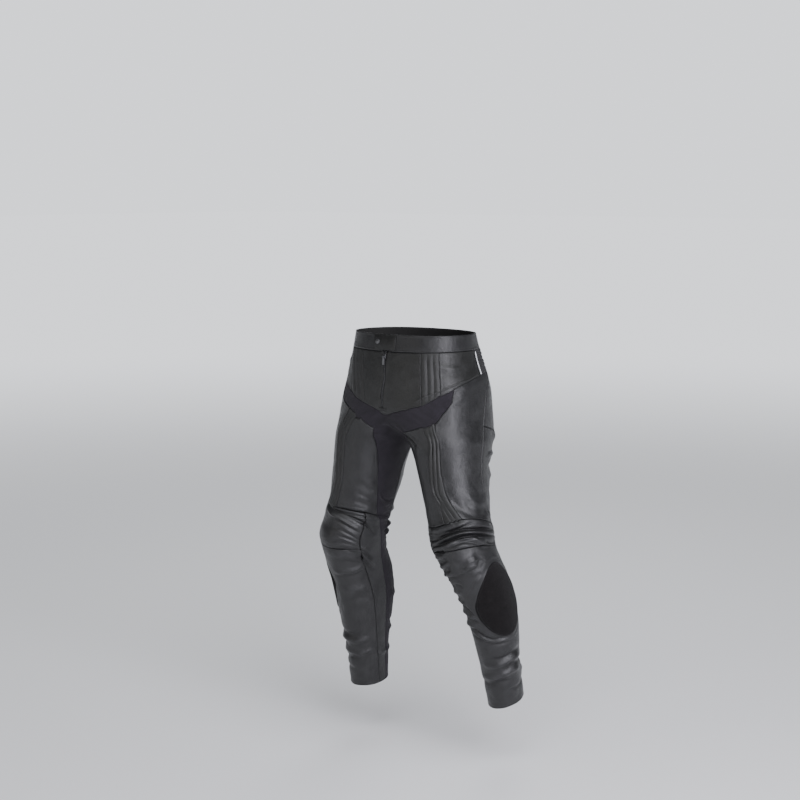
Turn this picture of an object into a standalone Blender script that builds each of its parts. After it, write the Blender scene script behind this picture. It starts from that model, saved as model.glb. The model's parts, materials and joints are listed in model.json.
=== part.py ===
"""Leather motorcycle trousers in the hollow shape they take when worn, one solid for each cut piece.

The origin is the middle of the waist opening, half way up the waistband.
+X is the wearer's left, -Y the wearer's front, +Z up, and all sizes are metres.
A place on the cloth is an angle round the leg and a distance down from the origin:
0 degrees is the outer side, -90 the front, +90 the back and 180 the inner side.
"""
import math
from collections import namedtuple

import bmesh
import bpy
from mathutils import Matrix, Vector

for old in list(bpy.data.objects):
    bpy.data.objects.remove(old, do_unlink=True)

NAME = "motorcycle_trousers"

# ---- driving sizes -------------------------------------------------------------------------
SEAM_GAP = 0.0003
LEATHER = 0.0014
STRETCH = 0.0012
BAND = 0.0022                  # folded leather of the waistband
WAIST_TOP = -0.020
BAND_EDGE = 0.020
HEM = 0.940
CROTCH = 0.240                 # where the two legs part, measured down
HIP_DROP = 0.105               # from the origin down to the hip joints
KNEE_ROUND = 0.090             # half the length over which the knee bends
RIB_HEIGHT = 0.0030
LUMBAR_HEIGHT = 0.0025
HIP_PAD = 0.0035
SEAT_SMOOTHING = 5
MIDDLE_START = 0.12            # above this the middle of each half is straight ahead
MIDDLE_REACH = 5               # columns over which the halves are brought together
ZIP_HALF = 0.0040              # half the width of the zip between the leather edges
TAPE = 0.0012
TAPE_SUNK = 0.0006
FLY_BAR_THICK = 0.0016
FLY_BAR_SHARE = 0.62           # half its width, as a share of the first column's
PIPING_RADIUS = 0.0016
PIPING_START = 0.2             # share of its first length that the waistband leaves free
TAPE_START = 0.02
PATCH_THICK = 0.0026
TAB_THICK = 0.0018
SNAP_RADIUS = 0.0065
SNAP_HEIGHT = 0.0022
TAB_COLUMNS = (2, 3)           # how far the tab laps over the left and the right half
SNAP_COLUMN = 2
SLIDER_WIDTH = 0.0072
SLIDER_LENGTH = 0.0120
SLIDER_DEPTH = 0.0030
LUG_WIDTH = 0.0010             # the two lugs on the slider that hold the pull tab's pin
LUG_LENGTH = 0.0030
LUG_ASIDE = 0.0029
LUG_SUNK = 0.0002
LUG_OVER_PIN = 0.0014
PIN_RADIUS = 0.0010
PIN_LENGTH = 0.0060
PIN_STANDOFF = 0.0066          # from the leather to the axis of the pull tab
PIN_DOWN = 0.036
PULL_LENGTH = 0.021
PULL_WIDTH = 0.0065
PULL_THICK = 0.0016
NECK_WIDTH = 0.0034            # the narrow part between the pull tab's eye and its plate
NECK_START = 0.0016
NECK_LENGTH = 0.0042
EYE_RADIUS = 0.0023
EYE_WIDTH = 0.0034
EYE_HOLE_RADIUS = 0.0014
EYE_CUTTER = 0.0050

# How far down the legs' own centre lines take over from the waist's: sideways, in depth and
# in height, and where the tubes tilt and turn with them.
ASIDE_BLEND = (0.12, 0.25)
DEPTH_BLEND = (0.12, 0.30)
HEIGHT_BLEND = (0.12, 0.33)
TILT_BLEND = (0.16, 0.36)
TURN_BLEND = (0.16, 0.52)

# A leg's pose: knee and ankle joints as if it were the left one, the turn of the foot and how
# far the shin bows outwards, most of it above the middle of the shin.
HIP = (0.092, 0.000, -HIP_DROP)
BOW_POWER = 0.8
Leg = namedtuple("Leg", "name side knee ankle turn bow")
LEGS = (
    Leg("right", -1, (0.165, -0.055, -0.510), (0.187, 0.041, -0.950), 21, -0.004),
    Leg("left", 1, (0.200, -0.060, -0.517), (0.247, 0.075, -0.950), 15, 0.026),
)

# Half widths of the cloth tube at stations down the body, and how square it is.
Section = namedtuple("Section", "down outer inner front back square")
SECTIONS = [Section(*row) for row in (
    (-0.020, 0.166, 0.166, 0.106, 0.118, 2.30),
    (0.040, 0.176, 0.174, 0.116, 0.142, 2.30),
    (0.090, 0.192, 0.182, 0.124, 0.160, 2.30),
    (0.140, 0.201, 0.165, 0.128, 0.167, 2.30),
    (0.185, 0.154, 0.130, 0.124, 0.155, 2.30),
    (0.230, 0.103, 0.101, 0.110, 0.138, 2.25),
    (0.290, 0.089, 0.088, 0.098, 0.121, 2.20),
    (0.360, 0.082, 0.078, 0.088, 0.108, 2.15),
    (0.430, 0.079, 0.074, 0.080, 0.098, 2.10),
    (0.480, 0.082, 0.072, 0.080, 0.090, 2.10),
    (0.525, 0.082, 0.066, 0.092, 0.086, 2.15),
    (0.570, 0.082, 0.055, 0.083, 0.088, 2.15),
    (0.630, 0.080, 0.045, 0.066, 0.100, 2.10),
    (0.690, 0.076, 0.046, 0.060, 0.102, 2.10),
    (0.770, 0.064, 0.047, 0.056, 0.082, 2.00),
    (0.860, 0.052, 0.046, 0.052, 0.062, 2.00),
    (0.940, 0.047, 0.045, 0.050, 0.054, 2.00),
)]

# The lines that run down the cloth: the column of the grid each one is, and its angle on the
# way down. Seams lie on these lines and on the ones across.
Line = namedtuple("Line", "name column angles")
LINES = (
    Line("stretch_front", 2, ((-0.02, -82), (0.12, -84), (0.178, -97), (0.220, -100), (0.250, -122),
                              (0.300, -152), (0.330, -162), (0.375, -172), (0.445, -182),
                              (0.480, -198), (0.530, -214), (0.600, -216), (0.940, -216))),
    Line("shin_inner", 4, ((-0.02, -74), (0.12, -75), (0.164, -85), (0.216, -90), (0.250, -108),
                           (0.300, -128), (0.360, -142), (0.420, -152), (0.465, -156), (0.510, -150),
                           (0.530, -154), (0.560, -164), (0.600, -176), (0.700, -182), (0.940, -182))),
    Line("ribs_inner", 7, ((-0.02, -57), (0.130, -59), (0.207, -76), (0.240, -84), (0.335, -97),
                           (0.390, -104), (0.425, -96), (0.455, -80), (0.480, -92), (0.520, -104),
                           (0.600, -112), (0.940, -114))),
    Line("ribs_outer", 13, ((-0.02, -38), (0.130, -42), (0.195, -60), (0.240, -66), (0.335, -76),
                            (0.390, -82), (0.425, -72), (0.455, -57), (0.480, -44), (0.520, -30),
                            (0.600, -24), (0.940, -22))),
    Line("gusset_end", 15, ((-0.02, -25), (0.110, -28), (0.140, -32), (0.195, -40), (0.335, -46),
                            (0.455, -26), (0.520, -6), (0.600, 6), (0.940, 8))),
    Line("piping", 17, ((-0.02, 9), (0.080, 9), (0.110, 2), (0.250, -14), (0.360, -17),
                        (0.455, -1), (0.520, 18), (0.600, 30), (0.940, 32))),
    Line("side", 18, ((-0.02, 28), (0.070, 34), (0.110, 14), (0.250, 3), (0.360, -1),
                      (0.455, 12), (0.520, 34), (0.600, 46), (0.940, 48))),
    Line("stretch_back", 25, ((-0.02, 80), (0.120, 82), (0.180, 104), (0.240, 148), (0.300, 148),
                              (0.400, 140), (0.455, 126), (0.530, 112), (0.940, 110))),
)
COLUMNS = 26
# Middle of the inner stretch, where the grid closes round a leg.
CLOSING = ((0.240, -180), (0.330, -187), (0.445, -208), (0.530, -231), (0.600, -233), (0.940, -233))

# The lines across: how far down each one is at the centre front, at every line above, half way
# round the back and at the centre back; and the bands between it and the line before.
ACROSS_COLUMNS = (0, 2, 4, 7, 13, 15, 17, 18, 22, 25, COLUMNS)
LEVEL = len(ACROSS_COLUMNS)
Across = namedtuple(
    "Across", "name bands front stretch shin rib_in rib_out gusset piping side rear back centre"
)
ACROSS = [Across(*row) for row in (
    ("waist_top", 0, *[WAIST_TOP] * LEVEL),
    ("band_edge", 1, *[BAND_EDGE] * LEVEL),
    ("yoke_edge", 6, 0.186, 0.176, 0.164, 0.148, 0.122, 0.110, 0.080, 0.070, 0.076, 0.084, 0.085),
    ("gusset_edge", 2, 0.208, 0.220, 0.216, 0.207, 0.195, 0.140, 0.114, 0.114, 0.135, 0.150, 0.155),
    ("crotch", 1, CROTCH, 0.262, 0.259, 0.254, 0.248, 0.224, 0.206, 0.212, 0.254, 0.254, CROTCH),
    ("knee_top", 6, 0.462, 0.458, 0.450, 0.452, 0.455, 0.462, 0.472, 0.476, 0.480, 0.470, 0.462),
    ("knee_edge", 8, 0.520, 0.520, 0.512, 0.517, 0.520, 0.523, 0.527, 0.530, 0.530, 0.525, 0.520),
    ("hem", 8, *[HEM] * LEVEL),
)]
# How the cloth of the right leg is drawn towards the middle at the hip and the knee: other places
# for the lines across it, and by how many degrees the lines down it lie further in.
ACROSS_RIGHT = {
    "yoke_edge": (0.186, 0.167, 0.162, 0.153, 0.130, 0.098, 0.078, 0.070, 0.076, 0.084, 0.085),
    "gusset_edge": (0.208, 0.212, 0.204, 0.187, 0.175, 0.148, 0.118, 0.114, 0.135, 0.150, 0.155),
    "knee_edge": (0.545, 0.545, 0.542, 0.540, 0.538, 0.536, 0.534, 0.534, 0.534, 0.536, 0.545),
}
LINES_RIGHT = {
    "stretch_front": ((-0.02, 0), (0.120, -3), (0.240, -2), (0.300, 0), (0.460, -4), (0.530, 0),
                      (0.94, 0)),
    "shin_inner": ((-0.02, 0), (0.045, -4), (0.090, -8), (0.170, -7), (0.260, 0), (0.420, -4),
                   (0.460, -19), (0.500, -18), (0.545, -12), (0.590, -2), (0.680, -9), (0.94, -10)),
    "ribs_inner": ((-0.02, -4), (0.045, -9), (0.090, -14), (0.150, -18), (0.200, -8), (0.260, 0),
                   (0.390, -2), (0.430, -12), (0.455, -18), (0.530, -6), (0.60, 0), (0.94, 0)),
    "ribs_outer": ((-0.02, -2), (0.045, -5), (0.090, -15), (0.150, -18), (0.200, -7), (0.260, 0),
                   (0.390, -2), (0.430, -12), (0.455, -18), (0.530, -6), (0.60, 0), (0.94, 0)),
    "gusset_end": ((-0.02, 0), (0.090, -8), (0.150, -8), (0.200, -4), (0.260, 0), (0.94, 0)),
}
YOKE_SHARES = (0.22, 0.44, 0.66, 0.86, 0.90, 1.00)   # where the yoke's rows lie

# Pleats over the knee: height of each crest, at the inner seam, the front and the side seam,
# and behind the knee.
Pleat = namedtuple("Pleat", "leg crest inner front side behind")
PLEATS = [Pleat(*row) for row in (
    ("left", 1, 0.0020, 0.0036, 0.0046, 0.0012),
    ("left", 3, 0.0040, 0.0052, 0.0040, 0.0034),
    ("left", 5, 0.0046, 0.0044, 0.0048, 0.0018),
    ("left", 7, 0.0034, 0.0050, 0.0030, 0.0030),
    ("right", 1, 0.0048, 0.0044, 0.0026, 0.0014),
    ("right", 3, 0.0030, 0.0038, 0.0036, 0.0032),
    ("right", 5, 0.0026, 0.0030, 0.0030, 0.0016),
    ("right", 7, 0.0018, 0.0026, 0.0034, 0.0028),
)]

# Loop patch for the knee slider: its middle on the shin, half its height and half its width at
# the top and at the bottom.
PATCH_ANGLE = -24
PATCH_DOWN = 0.650
PATCH_HALF_HEIGHT = 0.097
PATCH_TOP_WIDTH = 0.046
PATCH_LOW_WIDTH = 0.068
PATCH_SHOULDER = 0.50          # how far down, as a share, it reaches its full width
PATCH_SKEW = 0.006             # how far its tip leans towards the outer side
PATCH_POINTS = 28
PATCH_CUT_BELOW = 0.050        # the cutter's outline starts this far inside the shin
PATCH_CUT_DEPTH = 0.120
NEAR_DOWN = 0.010              # steps on the form that give the shin's own directions
NEAR_ANGLE = 4


# ---- the form ------------------------------------------------------------------------------
def smooth_step(start, end, value):
    share = min(max((value - start) / (end - start), 0.0), 1.0)
    return share * share * (3 - 2 * share)


def mix(first, second, share):
    return first + (second - first) * share


def curve_through(places, values):
    """A smooth curve through the values that never overshoots them."""
    steps = [b - a for a, b in zip(places, places[1:])]
    slopes = [(b - a) / step for a, b, step in zip(values, values[1:], steps)]
    tangents = [slopes[0]]
    for before, after in zip(slopes, slopes[1:]):
        tangents.append(2 * before * after / (before + after) if before * after > 0 else 0.0)
    tangents.append(slopes[-1])

    def value_at(place):
        place = min(max(place, places[0]), places[-1])
        index = max(i for i in range(len(steps)) if places[i] <= place)
        share = (place - places[index]) / steps[index]
        rise = steps[index]
        return (
            (2 * share**3 - 3 * share**2 + 1) * values[index]
            + (share**3 - 2 * share**2 + share) * rise * tangents[index]
            + (3 * share**2 - 2 * share**3) * values[index + 1]
            + (share**3 - share**2) * rise * tangents[index + 1]
        )

    return value_at


SIZE = {
    field: curve_through([s.down for s in SECTIONS], [getattr(s, field) for s in SECTIONS])
    for field in Section._fields[1:]
}


class LegForm:
    """The cloth tube of one leg with its half of the seat, as if it were the left one."""

    def __init__(self, leg):
        self.leg = leg
        self.knee = Vector(leg.knee)
        thigh = self.knee - Vector(HIP)
        shin = Vector(leg.ankle) - self.knee
        self.knee_down = HIP_DROP + thigh.length
        self.shin_length = shin.length
        self.thigh_way = thigh.normalized()
        self.shin_way = shin.normalized()

    def bend(self, down):
        """How far the knee's curve has turned at this station, from 0 to 1."""
        return min(max((down - self.knee_down + KNEE_ROUND) / (2 * KNEE_ROUND), 0.0), 1.0)

    def leg_centre(self, down):
        past = down - self.knee_down
        turned = self.bend(down)
        if turned in (0.0, 1.0):
            centre = self.knee + (self.shin_way if turned else self.thigh_way) * past
        else:
            centre = self.knee - self.thigh_way * KNEE_ROUND * (1 - turned) ** 2
            centre = centre + self.shin_way * KNEE_ROUND * turned**2
        share = min(max(past / self.shin_length, 0.0), 1.0)
        return centre + Vector((self.leg.bow * math.sin(math.pi * share**BOW_POWER), 0, 0))

    def centre(self, down):
        leg = self.leg_centre(down)
        return Vector((
            leg.x * smooth_step(*ASIDE_BLEND, down),
            leg.y * smooth_step(*DEPTH_BLEND, down),
            mix(-down, leg.z, smooth_step(*HEIGHT_BLEND, down)),
        ))

    def axes(self, down):
        way = self.thigh_way.lerp(self.shin_way, self.bend(down)).normalized()
        way = Vector((0, 0, -1)).lerp(way, smooth_step(*TILT_BLEND, down)).normalized()
        turn = math.radians(self.leg.turn * smooth_step(*TURN_BLEND, down))
        front = Vector((math.sin(turn), -math.cos(turn), 0))
        front = (front - way * front.dot(way)).normalized()
        return front.cross(way), -front

    def point(self, angle, down):
        across, back = self.axes(down)
        cosine = math.cos(math.radians(angle))
        sine = math.sin(math.radians(angle))
        power = 2 / SIZE["square"](down)
        wide = SIZE["outer" if cosine > 0 else "inner"](down)
        deep = SIZE["back" if sine > 0 else "front"](down)
        place = self.centre(down)
        place = place + across * wide * math.copysign(abs(cosine) ** power, cosine)
        return place + back * deep * math.copysign(abs(sine) ** power, sine)

    def middle_angle(self, down, facing):
        """The angle at which this half meets the other one, at the front or at the back."""
        near, far = 90.0, 180.0
        for _ in range(30):
            angle = (near + far) / 2
            if self.point(facing * angle, down).x > 0:
                near = angle
            else:
                far = angle
        return facing * near


# ---- the grid of seams ---------------------------------------------------------------------
def row_table(drawn):
    """Every row of the grid: how far down it is in each column, on the right leg or the left."""
    rows = []
    names = {}
    lines = [curve_through(ACROSS_COLUMNS, drawn.get(line.name, line[2:])) for line in ACROSS]
    for index, line in enumerate(ACROSS):
        shares = [(band + 1) / line.bands for band in range(line.bands)] or [1.0]
        if line.name == "yoke_edge":
            shares = YOKE_SHARES
        above = lines[max(index - 1, 0)]
        for share in shares:
            rows.append([mix(above(c), lines[index](c), share) for c in range(COLUMNS + 1)])
        names[line.name] = len(rows) - 1
    return rows, names


ROWS_LEFT, ROW = row_table({})
ROWS = {"left": ROWS_LEFT, "right": row_table(ACROSS_RIGHT)[0]}
ROW_COUNT = len(ROWS_LEFT)
COLUMN = {line.name: line.column for line in LINES}
ANGLES = {line.name: curve_through(*zip(*line.angles)) for line in LINES}
DRAWN = {name: curve_through(*zip(*angles)) for name, angles in LINES_RIGHT.items()}
CLOSING_ANGLE = curve_through(*zip(*CLOSING))
ZIP_END = ROW["yoke_edge"] - 2
FLY_END = ROW["yoke_edge"] - 1
PATCH_LAST_ROW = ROW["hem"] - 2


def line_angle(form, name, down):
    """The angle of a line down a leg at this station."""
    drawn = DRAWN[name](down) if form.leg.name == "right" and name in DRAWN else 0.0
    return ANGLES[name](down) + drawn


def column_angle(form, column, down):
    """The angle of a column at this station: exact on a line, shared out between lines."""
    if down < CROTCH:
        first = form.middle_angle(down, -1) if down > MIDDLE_START else -90.0
        last = form.middle_angle(down, 1) if down > MIDDLE_START else 90.0
    else:
        first = CLOSING_ANGLE(down)
        last = first + 360
    places = [0] + [line.column for line in LINES] + [COLUMNS]
    angles = [first] + [line_angle(form, line.name, down) for line in LINES] + [last]
    index = max(i for i in range(len(places) - 1) if places[i] <= column)
    share = (column - places[index]) / (places[index + 1] - places[index])
    return mix(angles[index], angles[index + 1], share)


def key(side, row, column):
    """The name of a grid point; the halves share the middle, and a leg closes on itself."""
    if row == ROW["crotch"] and column in (0, COLUMNS):
        return (0, row, 0)
    if row < ROW["crotch"] and column in (0, COLUMNS):
        return (0, row, column)
    return (side, row, column % COLUMNS)


def bare_points():
    """The grid's points on the plain form, both halves brought together in the middle."""
    points = {}
    for leg in LEGS:
        form = LegForm(leg)
        mirrored = Vector((leg.side, 1, 1))
        for row, downs in enumerate(ROWS[leg.name]):
            line = [form.point(column_angle(form, c, downs[c]), downs[c]) for c in range(COLUMNS + 1)]
            points[leg.side, row] = [p * mirrored for p in line]
    grid = {}
    for row in range(ROW_COUNT):
        right, left = points[-1, row], points[1, row]
        for column in range(COLUMNS + 1):
            for side, line in ((-1, right), (1, left)):
                place = line[column].copy()
                if row <= ROW["crotch"]:
                    for edge in (0, COLUMNS):
                        middle = (right[edge] + left[edge]) / 2
                        middle.x = 0.0
                        pull = max(1 - abs(column - edge) / MIDDLE_REACH, 0.0)
                        place += (middle - line[edge]) * pull * pull
                grid[key(side, row, column)] = place
    return grid


def rib_lift(row, column):
    """The three ribs of the yoke and of the thigh: raised every second column, flat at ends."""
    inside = COLUMN["ribs_inner"] < column < COLUMN["ribs_outer"]
    crest = (column - COLUMN["ribs_inner"]) % 2 == 1
    yoke = ROW["band_edge"] < row < ROW["yoke_edge"]
    thigh = ROW["gusset_edge"] < row < ROW["knee_top"]
    return RIB_HEIGHT if inside and crest and (yoke or thigh) else 0.0


def pleat_lift(leg, row, column):
    """The pleats over the knee and the softer folds behind it."""
    for pleat in PLEATS:
        if pleat.leg == leg.name and row == ROW["knee_top"] + pleat.crest:
            places = (0, 4, 10, 18, 22, COLUMNS)
            heights = (pleat.behind, pleat.inner, pleat.front, pleat.side, pleat.behind, pleat.behind)
            return curve_through(places, heights)(column)
    return 0.0


def hip_lift(row, column):
    """The gathers of the lumbar panel and the padded top edge of the outer thigh below it."""
    if row in (ROW["band_edge"] + 1, ROW["band_edge"] + 3) and column > COLUMN["piping"]:
        return LUMBAR_HEIGHT
    if row == ROW["yoke_edge"] + 1 and COLUMN["gusset_end"] < column < COLUMN["side"]:
        return HIP_PAD
    return 0.0


def seat_points(verts):
    """The points round the crotch seam, where the cloth spans from one half to the other."""
    near = []
    for (side, row, column), vert in verts.items():
        from_middle = min(column, COLUMNS - column)
        reach = min(row - ROW["yoke_edge"] + 1, ROW["crotch"] + 3 - row, 2) * 2
        if ROW["yoke_edge"] <= row <= ROW["crotch"] + 2 and from_middle <= reach:
            near.append(vert)
    return near


def garment_mesh():
    """The whole skin as one mesh, and its points by name."""
    mesh = bmesh.new()
    verts = {name: mesh.verts.new(place) for name, place in bare_points().items()}
    for leg in LEGS:
        for row in range(ROW_COUNT - 1):
            for column in range(COLUMNS):
                mesh.faces.new([verts[name] for name in corners(leg.side, row, column)])
    for _ in range(SEAT_SMOOTHING):
        bmesh.ops.smooth_vert(
            mesh, verts=seat_points(verts), factor=0.5, use_axis_x=True, use_axis_y=True, use_axis_z=True
        )
    mesh.normal_update()
    lifts = {}
    for leg in LEGS:
        for row in range(ROW_COUNT):
            for column in range(COLUMNS):
                lift = rib_lift(row, column) + pleat_lift(leg, row, column) + hip_lift(row, column)
                lifts[key(leg.side, row, column)] = lift
    moved = {name: verts[name].normal * lift for name, lift in lifts.items() if lift}
    for name, way in moved.items():
        verts[name].co += way
    mesh.normal_update()
    return mesh, verts


def corners(side, row, column):
    """The four corners of a cell, in the order that faces outwards."""
    names = [
        key(side, row, column),
        key(side, row + 1, column),
        key(side, row + 1, column + 1),
        key(side, row, column + 1),
    ]
    if side < 0:
        names.reverse()
    unique = []
    for name in names:
        if name not in unique:
            unique.append(name)
    return unique


# ---- Blender objects -----------------------------------------------------------------------
def new_collection(name):
    collection = bpy.data.collections.new(name)
    bpy.context.scene.collection.children.link(collection)
    return collection


def material(name, colour, roughness, metallic=0.0):
    made = bpy.data.materials.new(name)
    made.use_nodes = True
    shader = made.node_tree.nodes["Principled BSDF"]
    shader.inputs["Base Color"].default_value = (*colour, 1.0)
    shader.inputs["Roughness"].default_value = roughness
    shader.inputs["Metallic"].default_value = metallic
    return made


def new_object(name, mesh, collection, finish=None):
    data = bpy.data.meshes.new(name)
    mesh.to_mesh(data)
    mesh.free()
    thing = bpy.data.objects.new(name, data)
    collection.objects.link(thing)
    if finish:
        data.materials.append(finish)
    data.shade_smooth()
    data.set_sharp_from_angle(angle=math.radians(35))
    return thing


def inset_ways(mesh):
    """For each point on a piece's edge, the way into the piece that clears both its edges by 1."""
    ways = {}
    for vert in mesh.verts:
        inward = []
        for edge in vert.link_edges:
            if len(edge.link_faces) != 1:
                continue
            along = (edge.verts[1].co - edge.verts[0].co).normalized()
            middle = (edge.verts[0].co + edge.verts[1].co) / 2
            way = edge.link_faces[0].calc_center_median() - middle
            inward.append((way - along * way.dot(along)).normalized())
        if inward:
            total = sum(inward, Vector()).normalized()
            ways[vert] = total / max(total.dot(inward[0]), 0.4)
    return ways


def piece(name, cells, thickness, finish, wide=None, lift=0.0, apart=()):
    """One cut piece: the cells' outer skin, its inner skin and the rim between them.

    wide gives the inset of points that lie further than a seam from their neighbour, lift moves
    the piece out from the panel whose cells it has, and apart are points where its ends meet.
    """
    mesh = bmesh.new()
    made = {}
    for cell in cells:
        names = [(point, cell[0] if point in apart else 0) for point in corners(*cell)]
        for name_of_point in names:
            if name_of_point not in made:
                made[name_of_point] = mesh.verts.new(SKIN[name_of_point[0]].co)
        mesh.faces.new([made[name_of_point] for name_of_point in names])
    mesh.normal_update()
    ways = inset_ways(mesh)
    inner = {}
    moved = {}
    for (point, _), vert in made.items():
        inset = (wide or {}).get(point, SEAM_GAP / 2)
        normal = SKIN[point].normal
        moved[vert] = vert.co + normal * lift + ways.get(vert, Vector()) * inset
        inner[vert] = mesh.verts.new(moved[vert] - normal * thickness)
    for vert, place in moved.items():
        vert.co = place
    rim = [edge for edge in mesh.edges if edge.is_boundary]
    for face in list(mesh.faces):
        mesh.faces.new([inner[vert] for vert in reversed(face.verts)])
    for edge in rim:
        loop = edge.link_loops[0]
        first, second = loop.vert, loop.link_loop_next.vert
        mesh.faces.new((second, first, inner[first], inner[second]))
    bmesh.ops.triangulate(mesh, faces=mesh.faces[:], quad_method="SHORT_EDGE")
    return new_object(name, mesh, PARTS, finish)


def block(side, rows, columns):
    """The cells between two lines across and two lines down, given by name or number."""
    first_row, last_row = [ROW.get(row, row) for row in rows]
    first, last = [COLUMN.get(column, column) for column in columns]
    return [(side, row, column) for row in range(first_row, last_row) for column in range(first, last)]


def solid(name, make, size, place, axes, finish=None):
    """A primitive of the given size with its own X, Y and Z along the three axes."""
    mesh = bmesh.new()
    make(mesh)
    bmesh.ops.scale(mesh, vec=size, verts=mesh.verts)
    turned = Matrix(axes).transposed().to_4x4()
    bmesh.ops.transform(mesh, matrix=Matrix.Translation(place) @ turned, verts=mesh.verts)
    thing = new_object(name, mesh, PARTS if finish else CUTTERS, finish)
    if not finish:
        thing.hide_render = True
        thing.display_type = "WIRE"
    return thing


def cube(mesh):
    bmesh.ops.create_cube(mesh, size=1.0)


def drum(mesh):
    bmesh.ops.create_cone(mesh, cap_ends=True, segments=20, radius1=0.5, radius2=0.5, depth=1.0)


def slab(name, outer, inner, finish):
    """A sheet between two grids of points, outer ones running down and then to the left."""
    mesh = bmesh.new()
    grids = [[[mesh.verts.new(place) for place in line] for line in grid] for grid in (outer, inner)]
    faces = []
    for top, bottom in zip(grids[0], grids[0][1:]):
        for index in range(len(top) - 1):
            faces.append(mesh.faces.new((top[index], bottom[index], bottom[index + 1], top[index + 1])))
    twin = {a: b for rows in zip(*grids) for a, b in zip(*rows)}
    rim = [edge.link_loops[0] for edge in mesh.edges if edge.is_boundary]
    rim = [(loop.vert, loop.link_loop_next.vert) for loop in rim]
    for face in faces:
        mesh.faces.new([twin[vert] for vert in reversed(face.verts)])
    for first, second in rim:
        mesh.faces.new((second, first, twin[first], twin[second]))
    bmesh.ops.recalc_face_normals(mesh, faces=mesh.faces)
    bmesh.ops.triangulate(mesh, faces=mesh.faces[:], quad_method="SHORT_EDGE")
    return new_object(name, mesh, PARTS, finish)


def combine(thing, operation, other):
    modifier = thing.modifiers.new(other.name, "BOOLEAN")
    modifier.operation = operation
    modifier.object = other


# ---- the trousers --------------------------------------------------------------------------
PARTS = new_collection(NAME)
CUTTERS = new_collection("cutters")
GRID, SKIN = garment_mesh()

BLACK_LEATHER = material("black leather", (0.022, 0.023, 0.022), 0.42)
RIBBED_LEATHER = material("ribbed leather", (0.026, 0.027, 0.026), 0.40)
STRETCH_CLOTH = material("stretch cloth", (0.032, 0.029, 0.034), 0.85)
LUMBAR_CLOTH = material("elastic lumbar cloth", (0.014, 0.014, 0.015), 0.80)
LOOP_PILE = material("loop pile", (0.010, 0.009, 0.010), 0.95)
PIPING_CLOTH = material("light piping", (0.55, 0.55, 0.53), 0.55)
ZIP_CLOTH = material("zip tape", (0.010, 0.010, 0.010), 0.60)
GUNMETAL = material("gunmetal", (0.12, 0.12, 0.12), 0.35, 0.9)

Cut = namedtuple("Cut", "name thickness finish blocks")
CUTS = (
    Cut("yoke_front", LEATHER, BLACK_LEATHER, [(("band_edge", "yoke_edge"), (0, "ribs_inner"))]),
    Cut("yoke_ribs", LEATHER, RIBBED_LEATHER, [
        (("band_edge", "yoke_edge"), ("ribs_inner", "ribs_outer")),
    ]),
    Cut("yoke_side", LEATHER, BLACK_LEATHER, [(("band_edge", "yoke_edge"), ("ribs_outer", "piping"))]),
    Cut("seat", LEATHER, BLACK_LEATHER, [(("yoke_edge", "crotch"), ("side", COLUMNS))]),
    Cut("inner_stretch", STRETCH, STRETCH_CLOTH, [
        (("yoke_edge", "gusset_edge"), (0, "gusset_end")),
        (("gusset_edge", "knee_top"), (0, "stretch_front")),
        (("crotch", "knee_top"), ("stretch_back", COLUMNS)),
    ]),
    Cut("thigh_inner", LEATHER, BLACK_LEATHER, [
        (("gusset_edge", "knee_top"), ("stretch_front", "ribs_inner")),
    ]),
    Cut("thigh_ribs", LEATHER, RIBBED_LEATHER, [
        (("gusset_edge", "knee_top"), ("ribs_inner", "ribs_outer")),
    ]),
    Cut("thigh_outer", LEATHER, BLACK_LEATHER, [
        (("yoke_edge", "gusset_edge"), ("gusset_end", "side")),
        (("gusset_edge", "knee_top"), ("ribs_outer", "side")),
    ]),
    Cut("thigh_back", LEATHER, BLACK_LEATHER, [(("crotch", "knee_top"), ("side", "stretch_back"))]),
    Cut("knee_pleats", LEATHER, RIBBED_LEATHER, [(("knee_top", "knee_edge"), ("shin_inner", "side"))]),
    Cut("shin_front", LEATHER, BLACK_LEATHER, [(("knee_edge", "hem"), ("shin_inner", "side"))]),
    Cut("calf_inner", LEATHER, BLACK_LEATHER, [(("knee_top", "hem"), ("stretch_front", "shin_inner"))]),
    Cut("calf_stretch", STRETCH, STRETCH_CLOTH, [
        (("knee_top", "hem"), (0, "stretch_front")),
        (("knee_top", "hem"), ("stretch_back", COLUMNS)),
    ]),
    Cut("calf_outer", LEATHER, BLACK_LEATHER, [(("knee_top", "hem"), ("side", "stretch_back"))]),
)


def cut_leg(leg):
    """The panels of one half of the trousers, the fly edge set back to make room for the zip."""
    zip_edge = {key(leg.side, row, 0): ZIP_HALF for row in range(ROW["band_edge"], ZIP_END + 1)}
    for cut in CUTS:
        cells = [cell for rows, columns in cut.blocks for cell in block(leg.side, rows, columns)]
        wide = zip_edge if cut.name == "yoke_front" else None
        piece(f"{cut.name}_{leg.name}", cells, cut.thickness, cut.finish, wide)


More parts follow.
